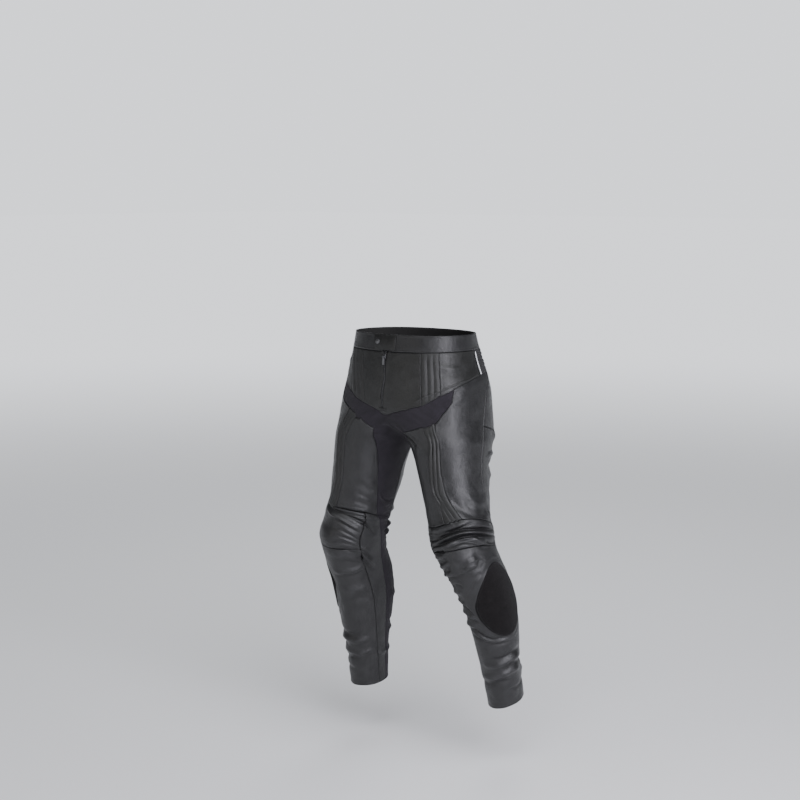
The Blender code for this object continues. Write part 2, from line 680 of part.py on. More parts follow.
def make_patch(leg):
    """The oval of loop pile for a knee slider, sewn on the outer side of the shin."""
    cells = block(leg.side, ("knee_edge", PATCH_LAST_ROW), ("shin_inner", "side"))
    lift = SEAM_GAP + PATCH_THICK
    patch = piece(f"slider_patch_{leg.name}", cells, PATCH_THICK, LOOP_PILE, lift=lift)
    form = LegForm(leg)
    middle = form.point(PATCH_ANGLE, PATCH_DOWN)
    along = (form.point(PATCH_ANGLE, PATCH_DOWN + NEAR_DOWN) - middle).normalized()
    across = form.point(PATCH_ANGLE + NEAR_ANGLE, PATCH_DOWN)
    across = across - form.point(PATCH_ANGLE - NEAR_ANGLE, PATCH_DOWN)
    out = across.cross(along).normalized()
    across = along.cross(out)
    if out.x < 0:
        out = -out
    mesh = bmesh.new()
    outline = []
    for index in range(PATCH_POINTS):
        turn = 2 * math.pi * index / PATCH_POINTS
        low = (1 - math.cos(turn)) / 2
        half = mix(PATCH_TOP_WIDTH, PATCH_LOW_WIDTH, smooth_step(0.0, PATCH_SHOULDER, low))
        lean = PATCH_SKEW * max(math.cos(turn), 0.0) ** 2
        place = middle - along * PATCH_HALF_HEIGHT * math.cos(turn)
        place = place + across * (half * math.sin(turn) + lean)
        outline.append(mesh.verts.new(place - out * PATCH_CUT_BELOW))
    base = mesh.faces.new(outline)
    raised = bmesh.ops.extrude_face_region(mesh, geom=[base])["geom"]
    tops = [thing for thing in raised if isinstance(thing, bmesh.types.BMVert)]
    bmesh.ops.translate(mesh, vec=out * PATCH_CUT_DEPTH, verts=tops)
    bmesh.ops.scale(mesh, vec=(leg.side, 1, 1), verts=mesh.verts)
    bmesh.ops.recalc_face_normals(mesh, faces=mesh.faces)
    prism = new_object(f"patch_outline_{leg.name}", mesh, CUTTERS)
    prism.hide_render = True
    prism.display_type = "WIRE"
    combine(patch, "INTERSECT", prism)


def make_piping(leg):
    """The light cord sewn into the seam between the yoke and the lumbar panel."""
    data = bpy.data.curves.new(f"piping_{leg.name}", "CURVE")
    data.dimensions = "3D"
    data.bevel_depth = PIPING_RADIUS
    data.bevel_resolution = 1
    data.use_fill_caps = True
    rows = range(ROW["band_edge"], ROW["yoke_edge"] + 1)
    points = []
    for row in rows:
        vert = SKIN[key(leg.side, row, COLUMN["piping"])]
        points.append(vert.co + vert.normal * (PIPING_RADIUS + SEAM_GAP))
    points[0] = points[0].lerp(points[1], PIPING_START)
    line = data.splines.new("POLY")
    line.points.add(len(points) - 1)
    for point, place in zip(line.points, points):
        point.co = (*place, 1)
    data.materials.append(PIPING_CLOTH)
    PARTS.objects.link(bpy.data.objects.new(f"piping_{leg.name}", data))


def make_waist():
    """The waistband, open at the centre front, its lapping tab and the snap that closes it."""
    band = ("waist_top", "band_edge")
    back = ("band_edge", "yoke_edge")
    ring = block(-1, band, (0, COLUMNS)) + block(1, band, (0, COLUMNS))
    ends = [key(1, ROW[edge], 0) for edge in band]
    piece("waistband", ring, BAND, BLACK_LEATHER, apart=ends)
    lumbar = block(-1, back, ("piping", COLUMNS)) + block(1, back, ("piping", COLUMNS))
    piece("lumbar_panel", lumbar, STRETCH, LUMBAR_CLOTH)
    lap = block(1, band, (0, TAB_COLUMNS[0])) + block(-1, band, (0, TAB_COLUMNS[1]))
    piece("waist_tab", lap, TAB_THICK, BLACK_LEATHER, lift=SEAM_GAP + TAB_THICK)
    upper, lower = [SKIN[key(-1, ROW[edge], SNAP_COLUMN)] for edge in band]
    out = (upper.normal + lower.normal).normalized()
    up = (upper.co - lower.co).normalized()
    across = up.cross(out).normalized()
    height = 2 * SEAM_GAP + TAB_THICK + SNAP_HEIGHT / 2
    place = (upper.co + lower.co) / 2 + out * height
    size = (2 * SNAP_RADIUS, 2 * SNAP_RADIUS, SNAP_HEIGHT)
    solid("waist_snap", drum, size, place, (across, out.cross(across), out), GUNMETAL)


def fly_bar_line(row, lift):
    """Five points across the end of the fly, on the two front panels, moved out."""
    middle = SKIN[key(1, row, 0)]
    line = []
    for side, share in ((-1, 1.0), (-1, 0.5), (1, 0.0), (1, 0.5), (1, 1.0)):
        aside = SKIN[key(side, row, 1)]
        normal = middle.normal.lerp(aside.normal, share * FLY_BAR_SHARE)
        line.append(middle.co.lerp(aside.co, share * FLY_BAR_SHARE) + normal * lift)
    return line


def make_zip():
    """The fly zip: its tape between the leather edges, the slider, the pull tab and the bar."""
    half = Vector((ZIP_HALF - SEAM_GAP, 0, 0))
    outer = []
    for row in range(ROW["band_edge"], ZIP_END + 1):
        vert = SKIN[key(1, row, 0)]
        outer.append([vert.co - vert.normal * TAPE_SUNK + shift for shift in (-half, half)])
    outer[0] = [first.lerp(second, TAPE_START) for first, second in zip(outer[0], outer[1])]
    inner = [[place + Vector((0, TAPE, 0)) for place in line] for line in outer]
    slab("zip_tape", outer, inner, ZIP_CLOTH)

    lifts = (SEAM_GAP, SEAM_GAP + FLY_BAR_THICK)
    inner, outer = [[fly_bar_line(row, lift) for row in (ZIP_END, FLY_END)] for lift in lifts]
    slab("fly_bar", outer, inner, BLACK_LEATHER)

    upper, lower = [SKIN[key(1, row, 0)] for row in (ROW["band_edge"], ROW["band_edge"] + 1)]
    share = (PIN_DOWN + upper.co.z) / (upper.co.z - lower.co.z)
    seat = upper.co.lerp(lower.co, share)
    down = (lower.co - upper.co).normalized()
    side = Vector((1, 0, 0))
    out = down.cross(side).normalized()
    if out.y > 0:
        out = -out
    flat = (side, -down, out)
    base = SEAM_GAP - TAPE_SUNK
    body = (SLIDER_WIDTH, SLIDER_LENGTH, SLIDER_DEPTH)
    slider = solid("zip_slider", cube, body, seat + out * (base + SLIDER_DEPTH / 2), flat, GUNMETAL)
    pin = seat + out * PIN_STANDOFF
    lug_foot = base + SLIDER_DEPTH - LUG_SUNK
    lug_height = PIN_STANDOFF + LUG_OVER_PIN - lug_foot
    lug_size = (LUG_WIDTH, LUG_LENGTH, lug_height)
    for name, aside in (("lug_right", -LUG_ASIDE), ("lug_left", LUG_ASIDE)):
        middle = seat + out * (lug_foot + lug_height / 2) + side * aside
        combine(slider, "UNION", solid(name, cube, lug_size, middle, flat))
    along_pin = (Vector((0, 1, 0)), Vector((0, 0, 1)), side)
    pin_size = (2 * PIN_RADIUS, 2 * PIN_RADIUS, PIN_LENGTH)
    combine(slider, "UNION", solid("pin", drum, pin_size, pin, along_pin))

    upright = (side, Vector((0, 1, 0)), Vector((0, 0, 1)))
    plate_size = (PULL_WIDTH, PULL_THICK, PULL_LENGTH - NECK_LENGTH)
    middle = pin - Vector((0, 0, (PULL_LENGTH + NECK_LENGTH) / 2))
    pull = solid("pull_tab", cube, plate_size, middle, upright, GUNMETAL)
    neck_size = (NECK_WIDTH, PULL_THICK, NECK_LENGTH)
    middle = pin - Vector((0, 0, NECK_START + NECK_LENGTH / 2))
    combine(pull, "UNION", solid("pull_neck", cube, neck_size, middle, upright))
    eye_size = (2 * EYE_RADIUS, 2 * EYE_RADIUS, EYE_WIDTH)
    combine(pull, "UNION", solid("pull_eye", drum, eye_size, pin, along_pin))
    hole_size = (2 * EYE_HOLE_RADIUS, 2 * EYE_HOLE_RADIUS, EYE_CUTTER)
    combine(pull, "DIFFERENCE", solid("pull_hole", drum, hole_size, pin, along_pin))


make_waist()
for leg_of_two in LEGS:
    cut_leg(leg_of_two)
    make_piping(leg_of_two)
    make_patch(leg_of_two)
make_zip()
GRID.free()
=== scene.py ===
"""The look of leather race trousers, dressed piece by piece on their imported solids."""
import json
import math
from collections import namedtuple

import bmesh
import bpy
import numpy as np
from mathutils import Matrix, Vector, noise
from mathutils.bvhtree import BVHTree
from mathutils.kdtree import KDTree

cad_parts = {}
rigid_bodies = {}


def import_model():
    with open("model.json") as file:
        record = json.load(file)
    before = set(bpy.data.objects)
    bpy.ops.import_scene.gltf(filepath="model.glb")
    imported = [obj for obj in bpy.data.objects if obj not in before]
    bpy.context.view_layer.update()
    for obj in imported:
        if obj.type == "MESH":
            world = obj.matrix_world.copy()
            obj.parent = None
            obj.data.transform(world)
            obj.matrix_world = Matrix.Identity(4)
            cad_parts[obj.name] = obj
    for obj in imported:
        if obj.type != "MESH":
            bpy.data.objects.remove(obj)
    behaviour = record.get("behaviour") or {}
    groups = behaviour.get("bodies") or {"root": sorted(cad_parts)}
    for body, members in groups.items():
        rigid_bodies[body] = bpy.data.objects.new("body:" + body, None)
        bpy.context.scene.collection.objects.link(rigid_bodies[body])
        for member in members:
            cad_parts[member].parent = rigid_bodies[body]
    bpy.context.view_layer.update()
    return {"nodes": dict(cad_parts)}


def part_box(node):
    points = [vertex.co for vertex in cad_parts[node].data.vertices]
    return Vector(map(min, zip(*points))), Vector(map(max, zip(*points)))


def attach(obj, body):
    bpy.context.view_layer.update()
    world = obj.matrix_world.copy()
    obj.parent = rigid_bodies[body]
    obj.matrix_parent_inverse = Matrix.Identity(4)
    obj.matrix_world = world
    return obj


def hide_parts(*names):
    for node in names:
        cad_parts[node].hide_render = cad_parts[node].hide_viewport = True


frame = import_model()

# ---- Floor, light and camera -----------------------------------------------------------------
# A pale studio floor, as low as the wearer would stand, which fades into walls of the same tone.
# Soft boxes stand on both sides and behind, with a broad light above, and the camera is at hip
# height in front, a little to the wearer's left.
FLOOR_Z = -1.055
FLOOR_SIZE = 60.0
FLOOR_GREY = (0.80, 0.80, 0.81)
WALL_LIGHT = 0.18               # what the walls of the studio give, and how pale they look
WALL_TONE = 1.45
WALL_COLOUR = (0.93, 0.95, 1.0)
SWEEP = (2.5, 11.0)             # over this stretch the floor takes on the tone of the walls
SoftBox = namedtuple("SoftBox", "name place width height power colour")
SOFT_BOXES = (
    SoftBox("tall_box_right", (2.9, -1.2, 0.55), 2.0, 2.6, 128, (0.92, 0.91, 1.0)),
    SoftBox("tall_box_left", (-0.8, -3.0, 0.20), 0.8, 2.2, 8, (1.0, 0.97, 0.90)),
    SoftBox("box_behind", (-1.4, 2.4, 1.9), 1.6, 1.6, 28, (0.95, 0.97, 1.0)),
)
BOXES_AIM = Vector((0, 0, -0.45))
SKYLIGHT_FROM = Vector((1.2, -1.0, 2.4))
SKYLIGHT_POWER = 2.1
SKYLIGHT_ANGLE = math.radians(60)
SKYLIGHT_COLOUR = (0.95, 0.97, 1.0)
CAMERA_AZIMUTH = math.radians(40)
CAMERA_FAR = 4.5
CAMERA_UP = 0.55
CAMERA_SENSOR = 36
VIEW_WIDTH = 2.032              # metres across the view, at the trousers
VIEW_ASIDE = -0.03683           # the middle of the view, from the middle of the waist
VIEW_DOWN = -0.155


def add_object(name, data):
    """Puts a mesh, a light or a camera into the scene."""
    thing = bpy.data.objects.new(name, data)
    bpy.context.scene.collection.objects.link(thing)
    return thing


def finished_data(mesh, name):
    """The mesh data of a bmesh, which is freed."""
    data = bpy.data.meshes.new(name)
    mesh.to_mesh(data)
    mesh.free()
    return data


def add_node(tree, kind, settings=(), values=(), links=()):
    """A shader node with its settings, the values of its sockets and what feeds them."""
    node = tree.nodes.new(kind)
    for label, value in dict(settings).items():
        setattr(node, label, value)
    for socket, value in dict(values).items():
        node.inputs[socket].default_value = value
    for socket, source in dict(links).items():
        tree.links.new(source, node.inputs[socket])
    return node


def new_finish(name, roughness, metallic=0.0, **sockets):
    """A material with one Principled shader, and constants on its own sockets."""
    made = bpy.data.materials.new(name)
    made.use_nodes = True
    shader = made.node_tree.nodes["Principled BSDF"]
    shader.inputs["Roughness"].default_value = roughness
    shader.inputs["Metallic"].default_value = metallic
    for label, value in sockets.items():
        shader.inputs[label.replace("_", " ")].default_value = value
    return made, made.node_tree, shader


def two_tone(tree, factor, first, second):
    """A colour between two others."""
    mix = add_node(tree, "ShaderNodeMix", {"data_type": "RGBA"}, links={"Factor": factor})
    mix.inputs[6].default_value = (*first, 1)
    mix.inputs[7].default_value = (*second, 1)
    return mix.outputs[2]


def face_way(thing, way, front="-Z", up="Y"):
    """Turns a light or the camera to face a way."""
    thing.rotation_euler = way.to_track_quat(front, up).to_euler()


floor_mesh = bmesh.new()
bmesh.ops.create_grid(floor_mesh, x_segments=1, y_segments=1, size=FLOOR_SIZE)
bmesh.ops.translate(floor_mesh, vec=(0, 0, FLOOR_Z), verts=floor_mesh.verts)
floor = add_object("studio_floor", finished_data(floor_mesh, "studio_floor"))
floor_finish, floor_tree, floor_shader = new_finish("pale_floor", 0.9, Emission_Strength=1.0)
spot = add_node(floor_tree, "ShaderNodeTexCoord")
reach = add_node(floor_tree, "ShaderNodeVectorMath", {"operation": "LENGTH"},
                 links={0: spot.outputs["Object"]})
away = add_node(floor_tree, "ShaderNodeMapRange", {"interpolation_type": "SMOOTHSTEP"},
                {"From Min": SWEEP[0], "From Max": SWEEP[1]}, {"Value": reach.outputs["Value"]})
wall_glow = [WALL_TONE * part for part in WALL_COLOUR]
for socket, near, far in (("Base Color", FLOOR_GREY, (0, 0, 0)), ("Emission Color", (0, 0, 0), wall_glow)):
    floor_tree.links.new(two_tone(floor_tree, away.outputs["Result"], near, far), floor_shader.inputs[socket])
floor.data.materials.append(floor_finish)

world = bpy.data.worlds.new("studio")
world.use_nodes = True
sky = world.node_tree
seen = add_node(sky, "ShaderNodeLightPath").outputs["Is Camera Ray"]
wall = add_node(sky, "ShaderNodeMapRange", values={"To Min": WALL_LIGHT, "To Max": WALL_TONE},
                links={"Value": seen})
sky.links.new(wall.outputs["Result"], sky.nodes["Background"].inputs["Strength"])
sky.nodes["Background"].inputs["Color"].default_value = (*WALL_COLOUR, 1)
bpy.context.scene.world = world

for box in SOFT_BOXES:
    lamp = bpy.data.lights.new(box.name, "AREA")
    lamp.shape = "RECTANGLE"
    lamp.size = box.width
    lamp.size_y = box.height
    lamp.energy = box.power
    lamp.color = box.colour
    lamp_object = add_object(box.name, lamp)
    lamp_object.location = box.place
    face_way(lamp_object, BOXES_AIM - Vector(box.place))
skylight = bpy.data.lights.new("skylight", "SUN")
skylight.energy = SKYLIGHT_POWER
skylight.angle = SKYLIGHT_ANGLE
skylight.color = SKYLIGHT_COLOUR
face_way(add_object("skylight", skylight), SKYLIGHT_FROM, "Z")

right_way = Vector((math.cos(CAMERA_AZIMUTH), math.sin(CAMERA_AZIMUTH), 0))
back_way = Vector((math.sin(CAMERA_AZIMUTH), -math.cos(CAMERA_AZIMUTH), 0))
aim = right_way * VIEW_ASIDE + Vector((0, 0, VIEW_DOWN))
camera_data = bpy.data.cameras.new("camera")
camera = add_object("camera", camera_data)
camera.location = aim + back_way * CAMERA_FAR + Vector((0, 0, CAMERA_UP))
face_way(camera, aim - camera.location)
camera_data.sensor_width = CAMERA_SENSOR
camera_data.lens = CAMERA_SENSOR * (aim - camera.location).length / VIEW_WIDTH
bpy.context.scene.camera = camera

# ---- The shell of panels ---------------------------------------------------------------------
# Fourteen panels of leather and stretch cloth a leg, a waistband and an elastic back panel are
# sewn edge to edge. The outer faces of their solids are joined here into one skin, so that
# curves and folds run on across the seams, and the skin is cut apart again further down.
Leg = namedtuple("Leg", "side knee ankle turn bow")
LEGS = {
    "right": Leg(-1, (0.165, -0.055, -0.510), (0.187, 0.041, -0.950), 21, -0.004),
    "left": Leg(1, (0.200, -0.060, -0.517), (0.247, 0.075, -0.950), 15, 0.026),
}
HIP = (0.092, 0.000, -0.105)
KNEE_ROUND = 0.090
BOW_SHARE = 0.8                 # how early on the way down the shin its bow is deepest
# Under the waist the middle of the cloth and its ways leave those of the body for those of the
# leg, each over its own stretch of the way down.
LEG_ASIDE = (0.12, 0.25)
LEG_BACK = (0.12, 0.30)
LEG_LOWER = (0.12, 0.33)
LEG_TILT = (0.16, 0.36)
LEG_TURN = (0.16, 0.52)
STATION_START = -0.040
STATION_STEP = 0.005
STATION_COUNT = 206

# The cut panels of each leg. One with a higher rank laps over its neighbours' edges.
Panel = namedtuple("Panel", "name rank thick")
LEG_PANELS = (
    Panel("yoke_front", 7, 0.0014),
    Panel("yoke_ribs", 6, 0.0014),
    Panel("yoke_side", 8, 0.0014),
    Panel("seat", 5, 0.0014),
    Panel("inner_stretch", 1, 0.0012),
    Panel("thigh_inner", 5, 0.0014),
    Panel("thigh_ribs", 4, 0.0014),
    Panel("thigh_outer", 9, 0.0014),
    Panel("thigh_back", 6, 0.0014),
    Panel("knee_pleats", 3, 0.0014),
    Panel("shin_front", 10, 0.0014),
    Panel("calf_inner", 7, 0.0014),
    Panel("calf_stretch", 2, 0.0012),
    Panel("calf_outer", 8, 0.0014),
)
PANELS = [Panel(f"{p.name}_{leg}", p.rank, p.thick) for leg in LEGS for p in LEG_PANELS]
PANELS += [Panel("waistband", 11, 0.0022), Panel("lumbar_panel", 0, 0.0012)]
SOLID_MERGE = 0.00002           # points this close are one, in a solid and across a seam
SEAM_MERGE = 0.0012
RIM_SHARE = 1.5                 # a face with an edge shorter than this many walls is its rim
FLAT_JOIN = math.radians(60)
LONGEST_CELL = 0.036
LUMBAR_CELL = 0.022
ELASTIC_LOW = -0.09
SMOOTH_LEVELS = 3
VALLEY_ANGLE = math.radians(-18)
VALLEY_KINDS = ("yoke_ribs", "thigh_ribs")
KNEE_DOWN = (0.40, 0.60)        # where the folds laid on below take the place of the plain pleats
FLY_FOOT = Vector((0.004, -0.127, -0.156))   # here too the plain solids are a little uneven
FLY_EASE = 0.030
KNEE_EASE = (0.5, -0.53) * 4    # smoothed, and swelled again
SEAM_ROUNDS = 4                 # and the long seams are drawn a little straighter
SEAM_SHARE = 0.45
SEAM_CORNER = math.radians(62)


def smooth_step(start, end, value):
    """How far a value is on its way from start to end, eased at both ends."""
    share = min(max((value - start) / (end - start), 0.0), 1.0)
    return share * share * (3 - 2 * share)


def station_index(down):
    """The nearest station of a leg to each distance down."""
    return np.clip(np.rint((down - STATION_START) / STATION_STEP).astype(int), 0, STATION_COUNT - 1)


def leg_station(leg, down):
    """Middle of a leg's cloth this far down, and its ways down, outwards and back, as if left."""
    knee = Vector(leg.knee)
    thigh, shin = knee - Vector(HIP), Vector(leg.ankle) - knee
    past = down + HIP[2] - thigh.length
    turned = min(max((past + KNEE_ROUND) / (2 * KNEE_ROUND), 0.0), 1.0)
    if turned in (0.0, 1.0):
        middle = knee + (shin if turned else thigh).normalized() * past
    else:
        middle = knee - thigh.normalized() * KNEE_ROUND * (1 - turned) ** 2
        middle += shin.normalized() * KNEE_ROUND * turned**2
    share = min(max(past / shin.length, 0.0), 1.0)
    middle.x += leg.bow * math.sin(math.pi * share**BOW_SHARE)
    middle.x *= smooth_step(*LEG_ASIDE, down)
    middle.y *= smooth_step(*LEG_BACK, down)
    middle.z += (-down - middle.z) * (1 - smooth_step(*LEG_LOWER, down))
    way = thigh.normalized().lerp(shin.normalized(), turned).normalized()
    way = Vector((0, 0, -1)).lerp(way, smooth_step(*LEG_TILT, down)).normalized()
    turn = math.radians(leg.turn * smooth_step(*LEG_TURN, down))
    front = Vector((math.sin(turn), -math.cos(turn), 0))
    front = (front - way * front.dot(way)).normalized()
    return (*middle, *way, *front.cross(way), *-front)


STATIONS = {
    name: np.array([leg_station(leg, STATION_START + STATION_STEP * i) for i in range(STATION_COUNT)])
    for name, leg in LEGS.items()
}


def places_on(leg_name, points):
    """Where points lie on a leg: angle round it, distance down and distance from its middle.

    0 degrees is the outer side, -90 the front, 90 the back and 180 the inner side.
    """
    own = points * (LEGS[leg_name].side, 1, 1)
    table = STATIONS[leg_name]
    past = np.stack([(own - row[:3]) @ row[3:6] for row in table], axis=1)
    first = np.clip((past >= 0).sum(axis=1) - 1, 0, STATION_COUNT - 2)
    rows = np.arange(len(own))
    share = past[rows, first] / (past[rows, first] - past[rows, first + 1])
    at = table[first] + (table[first + 1] - table[first]) * share[:, None]
    reach = own - at[:, :3]
    outwards = (reach * at[:, 6:9]).sum(axis=1)
    back = (reach * at[:, 9:12]).sum(axis=1)
    down = STATION_START + STATION_STEP * (first + share)
    return np.degrees(np.arctan2(back, outwards)), down, np.hypot(outwards, back)


def islands(faces):
    """Groups of faces that share edges."""
    seen = set()
    for first in faces:
        if first in seen:
            continue
        seen.add(first)
        island = [first]
        for face in island:
            for other in [near for edge in face.edges for near in edge.link_faces]:
                if other not in seen:
                    seen.add(other)
                    island.append(other)
        yield island


def outward(faces):
    """How far the faces look away from the middle of their leg, by area."""
    centres = np.array([face.calc_center_median() for face in faces])
    total = 0.0
    for name, leg in LEGS.items():
        own = [i for i, centre in enumerate(centres) if centre[0] * leg.side >= 0]
        if not own:
            continue
        _, down, _ = places_on(name, centres[own])
        middles = STATIONS[name][station_index(down)][:, :3] * (leg.side, 1, 1)
        for i, middle in zip(own, middles):
            total += faces[i].normal.dot(Vector(centres[i] - middle)) * faces[i].calc_area()
    return total


def weld_copy(node_name):
    """A merged copy of a solid of the frame."""
    mesh = bmesh.new()
    mesh.from_mesh(frame["nodes"][node_name].data)
    bmesh.ops.remove_doubles(mesh, verts=mesh.verts, dist=SOLID_MERGE)
    return mesh


def outer_face(panel):
    """A merged copy of a panel's solid with only its outer side left."""
    side = weld_copy(panel.name)
    shortest = panel.thick * RIM_SHARE
    rim = [face for face in side.faces if min(edge.calc_length() for edge in face.edges) < shortest]
    bmesh.ops.delete(side, geom=rim, context="FACES")
    groups = sorted(islands(side.faces), key=outward)
    inner = [face for group in groups[:-1] for face in group]
    bmesh.ops.delete(side, geom=inner, context="FACES")
    return side


def edge_rings(mesh):
    """Groups of edges that lie opposite each other across a row of four-sided faces."""
    seen = set()
    for first in mesh.edges:
        if first in seen:
            continue
        seen.add(first)
        ring = [first]
        for edge in ring:
            for face in edge.link_faces:
                if len(face.edges) != 4:
                    continue
                opposite = [e for e in face.edges if not set(e.verts) & set(edge.verts)][0]
                if opposite not in seen:
                    seen.add(opposite)
                    ring.append(opposite)
        yield ring


def cuts_for(ring):
    """How many cuts a ring of edges needs for cells short enough to be smoothed."""
    mean = sum(edge.calc_length() for edge in ring) / len(ring)
    elastic = min(edge.verts[0].co.z for edge in ring) > ELASTIC_LOW
    return math.ceil(mean / (LUMBAR_CELL if elastic else LONGEST_CELL)) - 1


def add_rounding(thing, levels):
    """Rounds a piece with live subdivision."""
    rounding = thing.modifiers.new("rounding", "SUBSURF")
    rounding.levels = levels
    rounding.render_levels = levels


shell = bmesh.new()
for index, panel in enumerate(PANELS):
    side = outer_face(panel)
    for face in side.faces:
        face.material_index = index
    part = finished_data(side, "part")
    shell.from_mesh(part)
    bpy.data.meshes.remove(part)
bmesh.ops.remove_doubles(shell, verts=shell.verts, dist=SEAM_MERGE)
bmesh.ops.join_triangles(
    shell, faces=shell.faces, cmp_materials=True, angle_face_threshold=FLAT_JOIN,
    angle_shape_threshold=math.pi, topology_influence=2.0,
)
for leg_name, leg in LEGS.items():
    own = [vert for vert in shell.verts if vert.co.x * leg.side > 0]
    _, down, _ = places_on(leg_name, np.array([vert.co for vert in own]))
    knee = [vert for vert, far in zip(own, down) if KNEE_DOWN[0] < far < KNEE_DOWN[1]]
    knee += [v for v in own if (v.co - FLY_FOOT).length < FLY_EASE and not v.is_boundary]
    for share in KNEE_EASE:
        means = []
        for vert in knee:
            near = [edge.other_vert(vert).co for edge in vert.link_edges]
            means.append(sum(near, Vector()) / len(near))
        for vert, mean in zip(knee, means):
            vert.co += (mean - vert.co) * share
sharpness = shell.edges.layers.float.new("crease_edge")
for edge in shell.edges:
    if len(edge.link_faces) == 2 and edge.calc_face_angle_signed() < VALLEY_ANGLE:
        both = " ".join(PANELS[face.material_index].name for face in edge.link_faces)
        if any(kind in both for kind in VALLEY_KINDS):
            edge[sharpness] = 1.0
too_long = True
while too_long:
    too_long = [ring for ring in edge_rings(shell) if cuts_for(ring)][:1]
    for ring in too_long:
        bmesh.ops.subdivide_edges(shell, edges=ring, cuts=cuts_for(ring), use_grid_fill=True)
for _ in range(SEAM_ROUNDS):
    shell.normal_update()
    moves = {}
    for vert in shell.verts:
        seam = [e for e in vert.link_edges if len({face.material_index for face in e.link_faces}) == 2]
        if len(seam) != 2 or vert.is_boundary:
            continue
        before, after = (edge.other_vert(vert).co for edge in seam)
        if (vert.co - before).angle(after - vert.co) > SEAM_CORNER:
            continue
        along = (after - before).normalized()
        move = ((before + after) / 2 - vert.co) * SEAM_SHARE
        move -= along * move.dot(along)
        moves[vert] = move - vert.normal * move.dot(vert.normal)
    for vert, move in moves.items():
        vert.co += move
shell_object = add_object("shell", finished_data(shell, "shell"))
for panel in PANELS:
    shell_object.data.materials.append(bpy.data.materials.new(f"cut_{panel.name}"))
add_rounding(shell_object, SMOOTH_LEVELS)
bpy.context.view_layer.update()
evaluated = shell_object.evaluated_get(bpy.context.evaluated_depsgraph_get())
skin_data = bpy.data.meshes.new_from_object(evaluated)
bpy.data.objects.remove(shell_object)

# ---- Folds and wrinkles ----------------------------------------------------------------------
# Cowhide about 1.3 mm thick takes soft folds where the wearer bends it: pleats are stacked above
# the knees, short folds fan out of the knee seams, a few cross the groin and the thighs, and the
# cloth is pushed together above the ankles. A fold runs along its line of places on the leg.
Fold = namedtuple("Fold", "width height line")
